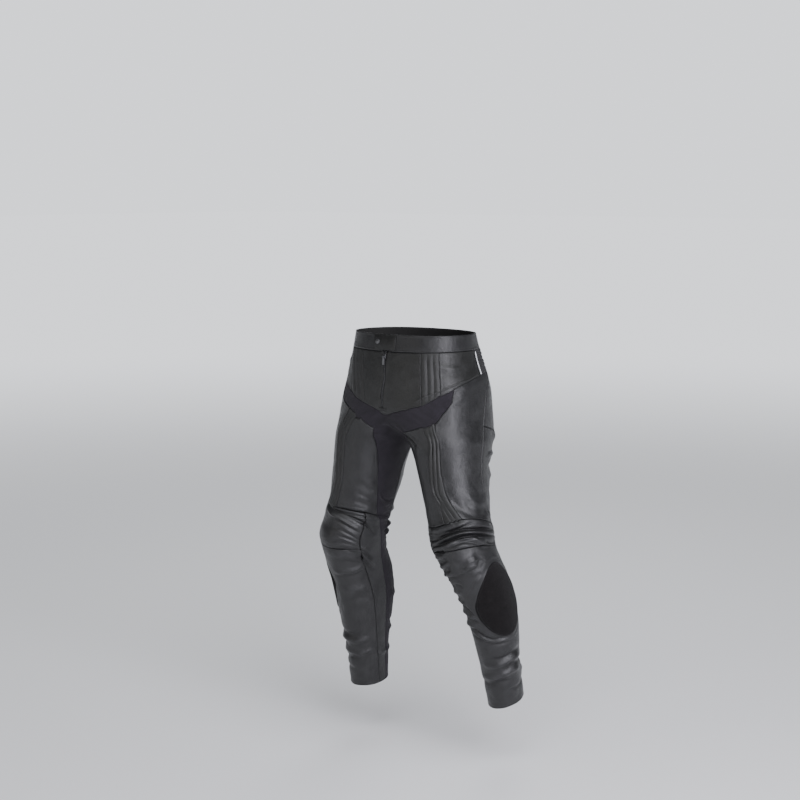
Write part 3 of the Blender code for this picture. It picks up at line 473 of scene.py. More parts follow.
# A fold's width and height in millimetres, then each place on its line: the angle round the leg
# in degrees and the millimetres down. A height below nothing is a trough.
FOLD_ROWS = {
    "left": (
        # above the knee: fine tucks, then two deep valleys with a roll between them
        (2.6, 1.4, -104, 447, -86, 450, -74, 450),
        (2.6, 1.6, -108, 456, -88, 459, -74, 460),
        (6, 3.8, -136, 468, -122, 470, -90, 470, -72, 469, -56, 465, -40, 459),
        (2.6, -4.4, -130, 478, -90, 477, -64, 472, -44, 465, -28, 464),
        (3.1, -8, -150, 490, -114, 490, -96, 485, -68, 476, -36, 478, -16, 480, 10, 485, 44, 486),
        (3.9, 5.7, -140, 497, -112, 496, -92, 490, -60, 483, -38, 485, 0, 494, 36, 494),
        (3.1, -7.8, -146, 506, -116, 502, -94, 497, -66, 491, -38, 491, -18, 495, 6, 501, 40, 504),
        (3.7, 5.2, -104, 506, -88, 502, -62, 496, -46, 497, -34, 505, -14, 524),
        (2.7, -3.7, -94, 511, -72, 503, -56, 502, -42, 509, -26, 524),
        (3.3, 3.1, -84, 514, -66, 508, -50, 511),
        (4.5, -4.4, -22, 506, 0, 516, 24, 520),
        # soft folds that swing round the lower thigh
        (9, -2.5, -70, 386, -62, 416, -50, 438, -32, 449, -6, 448, 16, 438),
        (8, 2.4, -78, 406, -68, 432, -54, 450, -34, 461, -6, 458),
        (7, -1.7, -50, 402, -38, 428, -24, 435, -2, 430),
        (8, 1.9, -46, 380, -30, 414, -12, 420, 12, 414),
        (9, -1.4, -34, 350, -18, 386, 0, 396, 20, 388),
        (6, 3.6, -4, 440, 10, 448, 26, 444),
        # the knee cap, and the creases pushed up on the inner side of the shin
        (3.9, 1.2, -66, 573, -54, 568, -42, 566),
        (3.4, -1, -68, 580, -54, 575, -42, 572),
        (4.2, 1.2, -66, 588, -54, 583, -44, 580),
        (15, 5, -86, 530, -66, 538, -44, 540),
        (2.8, -2.8, -74, 547, -62, 540, -46, 535, -18, 539),
        (4, 3.5, -70, 549, -56, 543, -40, 540),
        (2.6, -2.8, -78, 554, -56, 547, -28, 545),
        (4, 3.7, -84, 562, -66, 555, -46, 549),
        (4, -2.5, -88, 572, -66, 564, -44, 556),
        (5.4, -6.1, -118, 516, -104, 516, -92, 514),
        (4.9, 4.9, -124, 526, -108, 526, -92, 522),
        (4.5, -5.6, -122, 540, -104, 536, -88, 530),
        (4.5, 4.9, -126, 550, -108, 546, -90, 538),
        (4, -4.9, -126, 560, -108, 556, -88, 546),
        (4.9, 5.9, -130, 568, -112, 566, -94, 560),
        (2.9, -5.6, -140, 576, -112, 572, -92, 571, -76, 565),
        (3.2, 3.4, -126, 580, -106, 577, -86, 573),
        (2.7, -4.1, -124, 586, -98, 577, -84, 581),
        (3.1, -3.9, -128, 596, -100, 588, -86, 596),
        (5.4, 4.4, -136, 612, -112, 606, -94, 608),
        (5, 5, -150, 636, -120, 632, -100, 640),
        (4.8, -5.8, -146, 652, -124, 640, -106, 652, -92, 671),
        (5.5, 4.6, -150, 668, -124, 664, -104, 672, -88, 680),
        (3.6, -4, -146, 682, -118, 676, -100, 682, -84, 692),
        (7, 5.2, -170, 706, -140, 700, -112, 698, -98, 706),
        (4, -4, -130, 702, -108, 708, -92, 724, -72, 740, -44, 745, -10, 744),
        (4.5, 3.4, -136, 714, -112, 718, -94, 731, -70, 747, -40, 752, -4, 750),
        (4, -3.6, -150, 728, -122, 726, -96, 738, -70, 753, -38, 759, 0, 757),
        # the groin
        (7, -4, -136, 222, -120, 246, -112, 272),
        (6, 2.8, -122, 218, -106, 240, -100, 270),
        (5, -1.8, -16, 120, -24, 130, -32, 146),
        (6, 1.6, -10, 126, -20, 140, -30, 158),
        # the yoke: soft pulls from the hip ribs to the waistband
        (7, 2, -36, 44, -24, 58, -10, 60),
        (8, -2, -34, 78, -20, 74, -4, 66),
        # the ridge beside the slanting seam, then the back of the leg and the ankle
        (2, 1.6, -56, 148, -50, 138.5, -42, 127.5, -29, 112, -17, 97, -3, 86.5, 12, 72),
        (6, -3.6, 36, 376, 62, 390, 90, 386),
        (7, 3.6, 20, 300, 48, 288, 70, 296),
        (8, -3.6, 40, 640, 74, 652, 112, 640),
        (6, -2.9, 30, 130, 52, 144, 80, 142),
        (6, -4.6, -100, 792, -60, 800, -14, 796, 30, 806),
        (7, 4.4, -120, 808, -76, 816, -24, 812, 20, 820),
        (5.6, -4.8, -60, 834, -20, 828, 40, 838, 90, 830),
        (7, 4.4, -140, 846, -90, 850, -36, 844, 10, 852),
        (5.6, -4.4, -170, 862, -120, 868, -70, 864, -20, 870),
        (6.6, 3.6, 10, 862, 60, 868, 110, 862, 150, 868),
        (5, -3.4, -60, 892, -10, 896, 50, 890),
    ),
    "right": (
        # above the knee: fine tucks held by the knee seam, and the deep fold under them
        (2.2, 1.7, -96, 443, -126, 441, -154, 441, -184, 444),
        (2, -1.9, -104, 448, -128, 446, -156, 446, -186, 450),
        (2.2, 1.9, -100, 453, -128, 451, -156, 452, -186, 455),
        (2, -1.9, -120, 456, -150, 457, -182, 459),
        (2.2, 2.2, -112, 459, -146, 461, -178, 463),
        (3.8, -7, -56, 452, -76, 452, -96, 457, -118, 459, -140, 464, -160, 472, -176, 481, -192,
         501, -204, 512),
        (3, 4.4, -72, 462, -98, 467, -120, 472, -142, 482, -164, 495),
        (2.6, -2.6, -100, 474, -124, 481, -146, 491, -164, 503),
        # the fan of creases over the knee cap
        (2.7, 1.6, -104, 482, -126, 490, -146, 501, -164, 516),
        (2.1, -1.6, -110, 491, -132, 500, -150, 511, -165, 523),
        (2.4, 1.6, -106, 498, -130, 505, -150, 516, -164, 527),
        (1.9, -1.4, -112, 507, -134, 514, -152, 523, -164, 531),
        (2.4, 1.5, -102, 512, -130, 518, -150, 527, -163, 534),
        (1.9, -1.3, -104, 523, -132, 527, -152, 533),
        (2.4, 1.3, -96, 529, -128, 533, -158, 539),
        (5, 3.3, -160, 541, -170, 541, -178, 544),
        # below the knee cap and down the shin
        (4, -3, -80, 550, -124, 544, -142, 549, -154, 557, -170, 569),
        (6, 1.8, -90, 560, -120, 560, -144, 568, -160, 576),
        (5, -2, -110, 572, -136, 576, -156, 585, -178, 590),
        (3.6, -5.7, -162, 562, -172, 571, -182, 585, -194, 598, -210, 622),
        (4, 4.8, -170, 562, -184, 576, -198, 590, -214, 612),
        (3.4, -4.5, -168, 550, -182, 560, -192, 570, -208, 586),
        (7, 3, -86, 602, -110, 606, -136, 605, -160, 604, -182, 600),
        (6, -2.4, -94, 614, -120, 617, -150, 616, -180, 612),
        (10, 1.8, -104, 662, -140, 660, -184, 662),
        (10, -1.8, -96, 690, -140, 684, -190, 690),
        # short soft folds that fan out of the inner seam of the thigh
        (6, 0.5, -126, 362, -146, 366, -168, 376),
        (5, -0.5, -136, 374, -150, 380, -172, 388),
        (6, 0.7, -118, 386, -146, 392, -174, 404),
        (4, -0.6, -134, 399, -152, 405, -174, 412),
        (4.4, 0.7, -124, 408, -150, 412, -176, 421),
        (3.6, -0.8, -112, 421, -144, 423, -176, 431),
        (4.4, 0.8, -106, 429, -140, 430, -180, 440),
        (3, -0.8, -124, 437, -152, 438, -182, 445),
        # the stretch on the inner side of the thigh hangs in a round fold
        (3.6, -5, -178, 388, -190, 401, -202, 410, -218, 412, -236, 404),
        (5, 3.6, -174, 398, -190, 412, -204, 420, -222, 422),
        (5, -4, -182, 446, -206, 450, -232, 448, -256, 452),
        (6, 3.4, -186, 460, -210, 462, -240, 460),
        # the groin
        (6, -4.2, -122, 210, -150, 222, -176, 242),
        (7, 3, -116, 226, -144, 240, -166, 262),
        # the yoke: soft pulls from the hip ribs to the waistband
        (8, 1.8, -30, 50, -18, 60, 0, 58),
        # the back of the leg and the ankle
        (6, -3.6, 52, 384, 80, 374, 108, 388),
        (8, -3.6, 30, 668, 66, 656, 104, 668),
        (6, -2.9, 36, 138, 60, 128, 84, 140),
        (6.4, -4.6, -150, 782, -104, 790, -60, 786, -16, 794),
        (7.4, 4.4, -180, 800, -132, 808, -84, 804, -40, 810),
        (5.6, -4.8, -110, 826, -66, 820, -10, 828, 40, 822),
        (7, 4.2, -190, 836, -140, 844, -90, 840, -44, 846),
        (5.8, -4.4, -150, 860, -100, 858, -50, 866, 0, 862),
        (6.6, 3.6, 40, 852, 90, 860, 140, 856, 180, 862),
        (5, -3.4, -120, 888, -70, 892, -20, 886),
    ),
    "both": (
        # the seat, behind the knees and the calves, where the pose pushes the cloth together
        (4.5, -8.1, 60, 470, 86, 476, 110, 474, 134, 480),
        (5.4, 6.8, 54, 482, 84, 488, 112, 486, 140, 492),
        (4.1, -7.8, 64, 496, 92, 499, 118, 500, 142, 506),
        (5, 5.9, 50, 508, 82, 512, 114, 512, 136, 520),
        (4.5, -5.9, 66, 524, 94, 526, 124, 528),
        (8, -4.4, 70, 408, 96, 420, 122, 414),
        (9, 3.9, 74, 430, 98, 440, 126, 436),
        (9, -3.6, 60, 560, 90, 574, 126, 566),
        (10, -4.7, 44, 206, 74, 222, 104, 226),
        (11, 3.9, 40, 232, 72, 250, 108, 252),
        (9, -3.1, 56, 262, 84, 276, 112, 272),
        (7, -4.3, 24, 330, 52, 318, 84, 330, 112, 324),
        (8, 3.6, 30, 352, 60, 342, 90, 352, 120, 344),
        (5, -4.1, 56, 540, 84, 546, 112, 542),
        (9, 3.1, 50, 700, 84, 712, 120, 704),
        (6, -4.6, 30, 776, 70, 788, 116, 780),
        (6, 4.3, 36, 796, 76, 806, 120, 800),
    ),
}
FOLDS = {
    leg_name: [
        Fold(width / 1000, height / 1000, [(a, down / 1000) for a, down in zip(line[::2], line[1::2])])
        for width, height, *line in rows
    ]
    for leg_name, rows in FOLD_ROWS.items()
}
FOLD_FADE = 0.3                 # the share of a line over which its fold dies out at each end
FOLD_STEPS = 6
FOLD_MARGIN = 3                 # a fold moves nothing further off than this many of its widths
LEAST_REACH = 0.05
RIDGE_ROUND = 2.0
TROUGH_ROUND = 1.4
# How deep the fine wrinkles are on the way down a leg.
WRINKLE_DOWN = (0.00, 0.12, 0.20, 0.34, 0.42, 0.50, 0.58, 0.66, 0.78, 0.88, 0.95)
WRINKLE_HEIGHT = (0.0002, 0.0005, 0.0008, 0.0006, 0.0012, 0.0012, 0.0012, 0.0012, 0.0010, 0.0018, 0.0008)
WRINKLE_ROUND = 2.2
WRINKLE_ALONG = 34.0
SWELL_HEIGHT = 0.0012
SWELL_ROUND = 1.0
SWELL_ALONG = 11.0
SWELL_START = 0.08
SWELL_SHIFT = 9
MIDDLE_REACH = 0.016            # towards the seam between the halves the folds die out


def fold_lift(fold, angle, down, reach):
    """How far one fold lifts each point: a soft ridge, or a sharper trough where it is negative."""
    knots = np.array([fold.line[0], *fold.line, fold.line[-1]], dtype=float)
    share = np.linspace(0, 1, FOLD_STEPS, endpoint=False)[:, None]
    line = [
        0.5 * (2 * b + (c - a) * share + (2 * a - 5 * b + 4 * c - d) * share**2
               + (3 * b - a - 3 * c + d) * share**3)
        for a, b, c, d in zip(knots, knots[1:], knots[2:], knots[3:])
    ]
    line = np.concatenate([*line, knots[-1:]])
    middle = line[:, 0].mean()
    turned = (angle - middle + 180) % 360 - 180 + middle
    margin = fold.width * FOLD_MARGIN
    spread = np.degrees(margin / LEAST_REACH)
    near = np.flatnonzero(
        (down > line[:, 1].min() - margin) & (down < line[:, 1].max() + margin)
        & (turned > line[:, 0].min() - spread) & (turned < line[:, 0].max() + spread)
    )
    lift = np.zeros(len(angle))
    if not len(near):
        return lift
    scale = np.radians(1) * reach[near]
    best = np.full(len(near), np.inf)
    along = np.zeros(len(near))
    steps = len(line) - 1
    for index, (start, end) in enumerate(zip(line, line[1:])):
        run = np.stack([(end[0] - start[0]) * scale, np.full(len(near), end[1] - start[1])])
        gap = np.stack([(turned[near] - start[0]) * scale, down[near] - start[1]])
        share = np.clip((gap * run).sum(axis=0) / ((run * run).sum(axis=0) + 1e-12), 0, 1)
        far = np.hypot(*(gap - run * share))
        closer = far < best
        best[closer] = far[closer]
        along[closer] = (index + share[closer]) / steps
    edge = np.clip(np.minimum(along, 1 - along) / FOLD_FADE, 0, 1)
    fade = 1.0 if fold.line[0] == fold.line[-1] else edge * edge * (3 - 2 * edge)
    power = RIDGE_ROUND if fold.height > 0 else TROUGH_ROUND
    lift[near] = fold.height * fade * np.exp(-((best / fold.width) ** power))
    return lift


# Where a seam is drawn over the leg a little from its place on the plain solids: a push of this
# length aside and along, which dies out over the spreads.
Slide = namedtuple("Slide", "leg angle down spread_round spread_down aside along")
SLIDES = (
    Slide("right", -126, 0.238, 0.026, 0.030, 0.006, 0.008),
    Slide("left", -112, 0.450, 0.070, 0.024, 0.0, 0.019),
    Slide("left", -50, 0.518, 0.110, 0.020, 0.0, -0.012),
    Slide("left", -90, 0.262, 0.024, 0.045, 0.009, 0.0),
    Slide("left", -104, 0.415, 0.016, 0.040, 0.009, 0.0),
    Slide("left", -90, 0.088, 0.050, 0.024, 0.005, 0.0),
    Slide("right", -90, 0.088, 0.050, 0.024, -0.005, 0.0),
)


def slide_seams(leg_name, points, normals):
    """How far each point of a leg is drawn over the leg's surface."""
    leg = LEGS[leg_name]
    angle, down, reach = places_on(leg_name, points)
    ways = STATIONS[leg_name][station_index(down)]
    mirrored = np.array((leg.side, 1, 1))
    turn = np.radians(angle)[:, None]
    round_way = (np.cos(turn) * ways[:, 9:12] - np.sin(turn) * ways[:, 6:9]) * mirrored
    down_way = ways[:, 3:6] * mirrored
    moves = np.zeros_like(points)
    for slide in SLIDES:
        if slide.leg == leg_name:
            aside = np.radians((angle - slide.angle + 180) % 360 - 180) * reach / slide.spread_round
            share = np.exp(-(aside**2) - ((down - slide.down) / slide.spread_down) ** 2)[:, None]
            moves += share * (slide.aside * round_way + slide.along * down_way)
    return moves - normals * (moves * normals).sum(axis=1)[:, None]


# The oval of loop pile on the outer side of each shin, seen from the middle of the leg.
PATCH_ANGLE = -24
PATCH_DOWN = 0.650
PATCH_HALF_HEIGHT = 0.097
PATCH_TOP_WIDTH = 0.055
PATCH_LOW_WIDTH = 0.068
PATCH_SHOULDER = 0.50
PATCH_SKEW = 0.011
PATCH_FRONT = 0.89              # towards the front of the leg it is this much narrower
PATCH_OUTSIDE = 0.30
PATCH_DEEPEST = 0.052           # how far its edges may lie behind its middle
# Round it the leather is pulled in along its seam and stands up in a soft welt.
PATCH_RINGS = ((0.0050, 0.0020, -0.0007), (0.0105, 0.0034, 0.0006), (0.0165, 0.0030, -0.0004))
PATCH_KNOTS = 40
PATCH_FEEL = (4, 0.01)          # degrees and metres off its middle where its slope is felt


def on_skin(tree, leg, angle, down):
    """Where the way out of a leg's middle at this angle meets the skin, as if left."""
    row = np.array(leg_station(leg, down))
    turn = math.radians(angle)
    way = math.cos(turn) * row[6:9] + math.sin(turn) * row[9:12]
    mirrored = Vector((leg.side, 1, 1))
    return tree.ray_cast(Vector(row[:3]) * mirrored, Vector(way) * mirrored)[0] * mirrored


def patch_ways(tree, leg):
    """The middle of a leg's patch, and its ways along, across and out, as if left."""
    middle = on_skin(tree, leg, PATCH_ANGLE, PATCH_DOWN)
    turn, step = PATCH_FEEL
    along = (on_skin(tree, leg, PATCH_ANGLE, PATCH_DOWN + step) - middle).normalized()
    across = on_skin(tree, leg, PATCH_ANGLE + turn, PATCH_DOWN)
    across = across - on_skin(tree, leg, PATCH_ANGLE - turn, PATCH_DOWN)
    out = across.cross(along).normalized()
    across = along.cross(out)
    return middle, along, across, (-out if out.x < 0 else out)


def patch_ray(leg, ways, turn, share, grow=0.0):
    """A ray on to the leg through a place on the patch: this share of the way to its edge."""
    middle, along, across, out = ways
    low = (1 - math.cos(turn)) / 2
    half = PATCH_TOP_WIDTH
    half += (PATCH_LOW_WIDTH - half) * smooth_step(0.0, PATCH_SHOULDER, low)
    half *= PATCH_FRONT if math.sin(turn) < 0 else 1.0
    aside = (half + grow) * math.sin(turn) + PATCH_SKEW * max(math.cos(turn), 0.0) ** 2
    place = middle + across * aside * share
    place -= along * (PATCH_HALF_HEIGHT + grow) * math.cos(turn) * share
    mirrored = Vector((leg.side, 1, 1))
    return (place + out * PATCH_OUTSIDE) * mirrored, -out * mirrored


def patch_rays(leg, ways, count, share, grow=0.0):
    """Rays all round the edge of the patch, the last one a step short of the first."""
    return [patch_ray(leg, ways, math.tau * i / count, share, grow) for i in range(count)]


def read_all(items, field, width=1, kind=float):
    """One field of all the points, corners or faces of a mesh."""
    values = np.empty(len(items) * width, dtype=kind)
    items.foreach_get(field, values)
    return values


def keep_for_points(name, kind, field, values):
    """Keeps a number or a place for each point of the skin."""
    skin_data.attributes.new(name, kind, "POINT").data.foreach_set(field, values.ravel())


points = read_all(skin_data.vertices, "co", 3).reshape(-1, 3)
normals = read_all(skin_data.vertices, "normal", 3).reshape(-1, 3)
skin_faces = [list(face.vertices) for face in skin_data.polygons]
SMOOTH_TREE = BVHTree.FromPolygons(points.tolist(), skin_faces)
angles, downs, reaches, lifts = np.zeros((4, len(points)))
for leg_name, leg in LEGS.items():
    own = np.flatnonzero(points[:, 0] * leg.side >= 0)
    points[own] += slide_seams(leg_name, points[own], normals[own])
    angle, down, reach = places_on(leg_name, points[own])
    folds = FOLDS[leg_name] + FOLDS["both"]
    ways = patch_ways(SMOOTH_TREE, leg)
    for grow, width, height in PATCH_RINGS:
        rays = patch_rays(leg, ways, PATCH_KNOTS, 1.0, grow)
        hits = [SMOOTH_TREE.ray_cast(*ray, PATCH_OUTSIDE + PATCH_DEEPEST)[0] for ray in rays]
        ring_angle, ring_down, _ = places_on(leg_name, np.array([hit for hit in hits if hit]))
        ring = tuple(zip(ring_angle, ring_down))
        folds.append(Fold(width, height, (*ring, ring[0])))
    lift = sum(fold_lift(fold, angle, down, reach) for fold in folds)
    depth = np.interp(down, WRINKLE_DOWN, WRINKLE_HEIGHT)
    turn = np.radians(angle)
    for i, (c, s, d) in enumerate(zip(np.cos(turn), np.sin(turn), down)):
        fine = noise.noise(Vector((c * WRINKLE_ROUND, s * WRINKLE_ROUND, d * WRINKLE_ALONG + leg.side)))
        swell_down = d * SWELL_ALONG + SWELL_SHIFT * leg.side
        swell = noise.noise(Vector((c * SWELL_ROUND, s * SWELL_ROUND, swell_down)))
        lift[i] += depth[i] * fine + SWELL_HEIGHT * smooth_step(0.0, SWELL_START, d) * swell
    aside = np.clip(np.abs(points[own, 0]) / MIDDLE_REACH, 0, 1)
    lift *= aside * aside * (3 - 2 * aside)
    angles[own], downs[own], reaches[own], lifts[own] = angle, down, reach, lift
points += normals * lifts[:, None]
skin_data.vertices.foreach_set("co", points.ravel())
SKIN_TREE = BVHTree.FromPolygons(points.tolist(), skin_faces)

# Each point keeps its place on the leg, how far it was lifted, and the rank of the panel on top
# where panels meet.
face_cut = read_all(skin_data.polygons, "material_index", kind=int)
face_size = read_all(skin_data.polygons, "loop_total", kind=int)
ranks = np.array([panel.rank for panel in PANELS])[np.repeat(face_cut, face_size)]
top_rank = np.zeros(len(points))
np.maximum.at(top_rank, read_all(skin_data.loops, "vertex_index", kind=int), ranks)
keep_for_points("place", "FLOAT_VECTOR", "vector", np.stack([angles, downs, reaches], axis=1))
keep_for_points("lifted", "FLOAT", "value", lifts)
keep_for_points("top_rank", "FLOAT", "value", top_rank)

skin_object = add_object("skin", skin_data)
bpy.context.view_layer.objects.active = skin_object
skin_object.select_set(True)
bpy.ops.object.mode_set(mode="EDIT")
bpy.ops.mesh.separate(type="MATERIAL")
bpy.ops.object.mode_set(mode="OBJECT")
cut_panels = {}
for thing in list(bpy.context.scene.objects):
    if thing.type == "MESH" and thing.data.materials and thing.data.materials[0]:
        name = thing.data.materials[0].name
        if name.startswith("cut_"):
            cut_panels[name[4:]] = thing

# ---- Yoke ------------------------------------------------------------------------------------
# The front of the trousers below the waistband: a leather panel on each side of the fly, three
# padded ribs over each hip bone, and a side panel. The edge that laps over is turned in and sewn
# down with two rows of black thread.
EDGE_LIFT = 0.0003
EDGE_SUNK = 0.0006
SHORT_CELL = 0.0012             # a rim with shorter cells than this is lifted less
SEAM_REACH = 0.014
SEAM_SAMPLE = 0.0005
SEAM_STOPS = ((0.00, 0.35), (0.05, 0.75), (0.13, 0.25), (0.27, 0.80), (0.44, 0.25), (0.60, 0.62), (1.0, 0.5))
SEAM_TUCK = 0.004
SEAM_SHADE = 0.0012
SEAM_DEEP = 0.0005
GRAIN_SIZE = 0.0013
GRAIN_WARP = 0.0016
GRAIN_DEEP = 0.00005
CRUMPLE_DEEP = 0.0008
FOLD_SHADE_AND_RUB_LIFT = (-0.0015, 0.0025)   # from these troughs to these ridges the colour goes from painted shade to painted highlight, with rubbing
STITCH_ROWS = (0.0018, 0.0062)
STITCH_PITCH = 0.0042
STITCH_APART = 0.0006           # places on a row of stitches closer than this are one


def new_group(name, inputs, outputs):
    """An empty shader node group with its sockets, and the nodes that stand for them."""
    group = bpy.data.node_groups.new(name, "ShaderNodeTree")
    for label, kind, value in inputs:
        socket = group.interface.new_socket(label, in_out="INPUT", socket_type=kind)
        if value is not None:
            socket.default_value = value
    for label, kind in outputs:
        group.interface.new_socket(label, in_out="OUTPUT", socket_type=kind)
    return group, group.nodes.new("NodeGroupInput"), group.nodes.new("NodeGroupOutput")


def sums(tree, kind, first, second):
    """A Math node of two terms, each a number or a socket."""
    node = add_node(tree, "ShaderNodeMath", {"operation": kind})
    for index, term in enumerate((first, second)):
        if isinstance(term, (int, float)):
            node.inputs[index].default_value = term
        else:
            tree.links.new(term, node.inputs[index])
    return node.outputs[0]


def speckle(tree, source, scale, detail, **more):
    """A noise texture over a surface."""
    return add_node(tree, "ShaderNodeTexNoise", values={"Scale": scale, "Detail": detail, **more},
                    links={"Vector": source})


def smooth_range(tree, source, **values):
    """A value carried smoothly from one range to another."""
    given = {label.replace("_", " "): value for label, value in values.items()}
    return add_node(tree, "ShaderNodeMapRange", {"interpolation_type": "SMOOTHSTEP"}, given,
                    {"Value": source}).outputs[0]


def plain_range(tree, source, **values):
    """A value carried evenly from one range to another."""
    given = {label.replace("_", " "): value for label, value in values.items()}
    return add_node(tree, "ShaderNodeMapRange", values=given, links={"Value": source}).outputs[0]


def shifted(tree, source, by, amount):
    """A place drawn aside by a noise's colour."""
    shift = add_node(tree, "ShaderNodeVectorMath", {"operation": "SCALE"}, {"Scale": amount},
                     {0: by.outputs["Color"]})
    moved = add_node(tree, "ShaderNodeVectorMath", {"operation": "ADD"},
                     links={0: source, 1: shift.outputs[0]})
    return moved.outputs[0]


def object_place(tree):
    """Where on the piece a point of its surface lies."""
    return add_node(tree, "ShaderNodeTexCoord").outputs["Object"]


def kept_value(tree, name, output="Vector"):
    """What a piece keeps under this name for each of its points."""
    return add_node(tree, "ShaderNodeAttribute", {"attribute_name": name}).outputs[output]


def raise_height(tree, shader, height, distance=1.0):
    """Feeds a relief to the shader's normal."""
    bump = add_node(tree, "ShaderNodeBump", values={"Distance": distance}, links={"Height": height})
    tree.links.new(bump.outputs[0], shader.inputs["Normal"])


def make_grain_group():
    """Pebbled grain of full leather: cells of two sizes, creased here and there."""
    group, start, end = new_group(
        "leather_grain",
        [("Vector", "NodeSocketVector", None), ("Size", "NodeSocketFloat", 0.0012)],
        [("Height", "NodeSocketFloat"), ("Tone", "NodeSocketFloat")],
    )
    per_metre = sums(group, "DIVIDE", 1.0, start.outputs["Size"])
    warp = speckle(group, start.outputs["Vector"], 140, 2)
    moved = shifted(group, start.outputs["Vector"], warp, GRAIN_WARP)
    cells = add_node(group, "ShaderNodeTexVoronoi", {"feature": "DISTANCE_TO_EDGE"},
                     links={"Vector": moved, "Scale": per_metre})
    furrow = smooth_range(group, cells.outputs["Distance"], From_Max=0.16)
    large = speckle(group, start.outputs["Vector"], 46, 3)
    spread = plain_range(group, large.outputs[0], From_Min=0.35, From_Max=0.65)
    group.links.new(furrow, end.inputs["Height"])
    group.links.new(spread, end.inputs["Tone"])
    return group


def make_seam_group():
    """The relief beside a seam: two rows of stitches pressed in on top, a dip where it tucks in, and painted
    shade close to its edges.
    """
    group, start, end = new_group(
        "seam_relief",
        [("Seam", "NodeSocketVector", None), ("Vector", "NodeSocketVector", None)],
        [("Height", "NodeSocketFloat"), ("Shade", "NodeSocketFloat")],
    )
    far = add_node(group, "ShaderNodeSeparateXYZ", links={0: start.outputs["Seam"]})
    share = sums(group, "DIVIDE", far.outputs["X"], SEAM_REACH)
    profile = add_node(group, "ShaderNodeValToRGB", links={0: share})
    ramp = profile.color_ramp
    ramp.interpolation = "B_SPLINE"
    while len(ramp.elements) < len(SEAM_STOPS):
        ramp.elements.new(0.5)
    for element, (place, height) in zip(ramp.elements, SEAM_STOPS):
        element.position = place
        element.color = (height, height, height, 1)
    ripple = speckle(group, start.outputs["Vector"], 230, 1)
    near = smooth_range(group, far.outputs["X"], From_Max=SEAM_REACH, To_Min=1.0, To_Max=0.0)
    pucker = sums(group, "MULTIPLY", ripple.outputs[0], near)
    tuck = smooth_range(group, far.outputs["Y"], From_Max=SEAM_TUCK)
    height = sums(group, "ADD", profile.outputs["Color"], sums(group, "MULTIPLY", pucker, 0.5))
    group.links.new(sums(group, "ADD", height, tuck), end.inputs["Height"])
    edge = smooth_range(group, far.outputs["X"], From_Max=SEAM_SHADE)
    group.links.new(sums(group, "MULTIPLY", edge, tuck), end.inputs["Shade"])
    return group


GRAIN_GROUP = make_grain_group()
SEAM_GROUP = make_seam_group()


def seams_of(tree, place):
    """The relief and the shade beside the seams of a cut piece."""
    return add_node(tree, "ShaderNodeGroup", {"node_tree": SEAM_GROUP},
                    links={"Vector": place, "Seam": kept_value(tree, "seam")})


def leather(name, colour, crest_light_and_rubbing, rough):
    """Satin black cowhide: grained and smoother where it is rubbed; lighter on the ridges of its folds as
    painted highlight and rubbing, darker in their troughs as painted shade.
    """
    made, tree, shader = new_finish(name, rough[0], Specular_IOR_Level=0.45)
    place = object_place(tree)
    pebbles = add_node(tree, "ShaderNodeGroup", {"node_tree": GRAIN_GROUP}, {"Size": GRAIN_SIZE},
                       {"Vector": place})
    seams = seams_of(tree, place)
    # Painted highlight and shade: the lift of the folds paints their ridges lighter, with rubbing, and their
    # troughs darker.
    ridge = plain_range(tree, kept_value(tree, "lifted", "Fac"), From_Min=FOLD_SHADE_AND_RUB_LIFT[0], From_Max=FOLD_SHADE_AND_RUB_LIFT[1])
    fold_light_and_rubbing = sums(tree, "MULTIPLY", ridge, pebbles.outputs["Tone"])
    # Painted shade: close to the seams, and over an edge that tucks under, the colour darkens to 0.6 of the
    # plain colour.
    dark = add_node(tree, "ShaderNodeMix", {"data_type": "RGBA"},
                    links={"Factor": seams.outputs["Shade"], 7: two_tone(tree, fold_light_and_rubbing, colour, crest_light_and_rubbing)})
    dark.inputs[6].default_value = (*[c * 0.6 for c in colour], 1)
    tree.links.new(dark.outputs[2], shader.inputs["Base Color"])
    gloss = plain_range(tree, pebbles.outputs["Tone"], To_Min=rough[1], To_Max=rough[0])
    tree.links.new(gloss, shader.inputs["Roughness"])
    crumple = speckle(tree, place, 62, 4, Distortion=0.6)
    relief = sums(tree, "ADD", sums(tree, "MULTIPLY", pebbles.outputs["Height"], GRAIN_DEEP),
                  sums(tree, "MULTIPLY", seams.outputs["Height"], SEAM_DEEP))
    relief = sums(tree, "ADD", relief, sums(tree, "MULTIPLY", crumple.outputs[0], CRUMPLE_DEEP))
    raise_height(tree, shader, relief)
    return made


def flesh_side():
    """The rough inner side of the hide."""
    made, tree, shader = new_finish("hide_inside", 0.95)
    nap = speckle(tree, object_place(tree), 900, 4).outputs[0]
    tone = add_node(tree, "ShaderNodeValToRGB", links={0: nap})
    tone.color_ramp.elements[0].color = (0.008, 0.008, 0.008, 1)
    tone.color_ramp.elements[1].color = (0.030, 0.029, 0.028, 1)
    tree.links.new(tone.outputs[0], shader.inputs["Base Color"])
    raise_height(tree, shader, nap, 0.0003)
    return made


def edge_chains(mesh, wanted):
    """The wanted edges of a panel's rim as lines of points."""
    seen = set()
    chains = []
    for first in mesh.edges:
        if first in seen or not wanted(first):
            continue
        seen.add(first)
        chain = list(first.verts)
        for end in (1, 0):
            while True:
                tip = chain[-1] if end else chain[0]
                more = [edge for edge in tip.link_edges if wanted(edge) and edge not in seen]
                if len(more) != 1:
                    break
                seen.add(more[0])
                chain.insert(len(chain) if end else 0, more[0].other_vert(tip))
        chains.append(chain)
    return chains


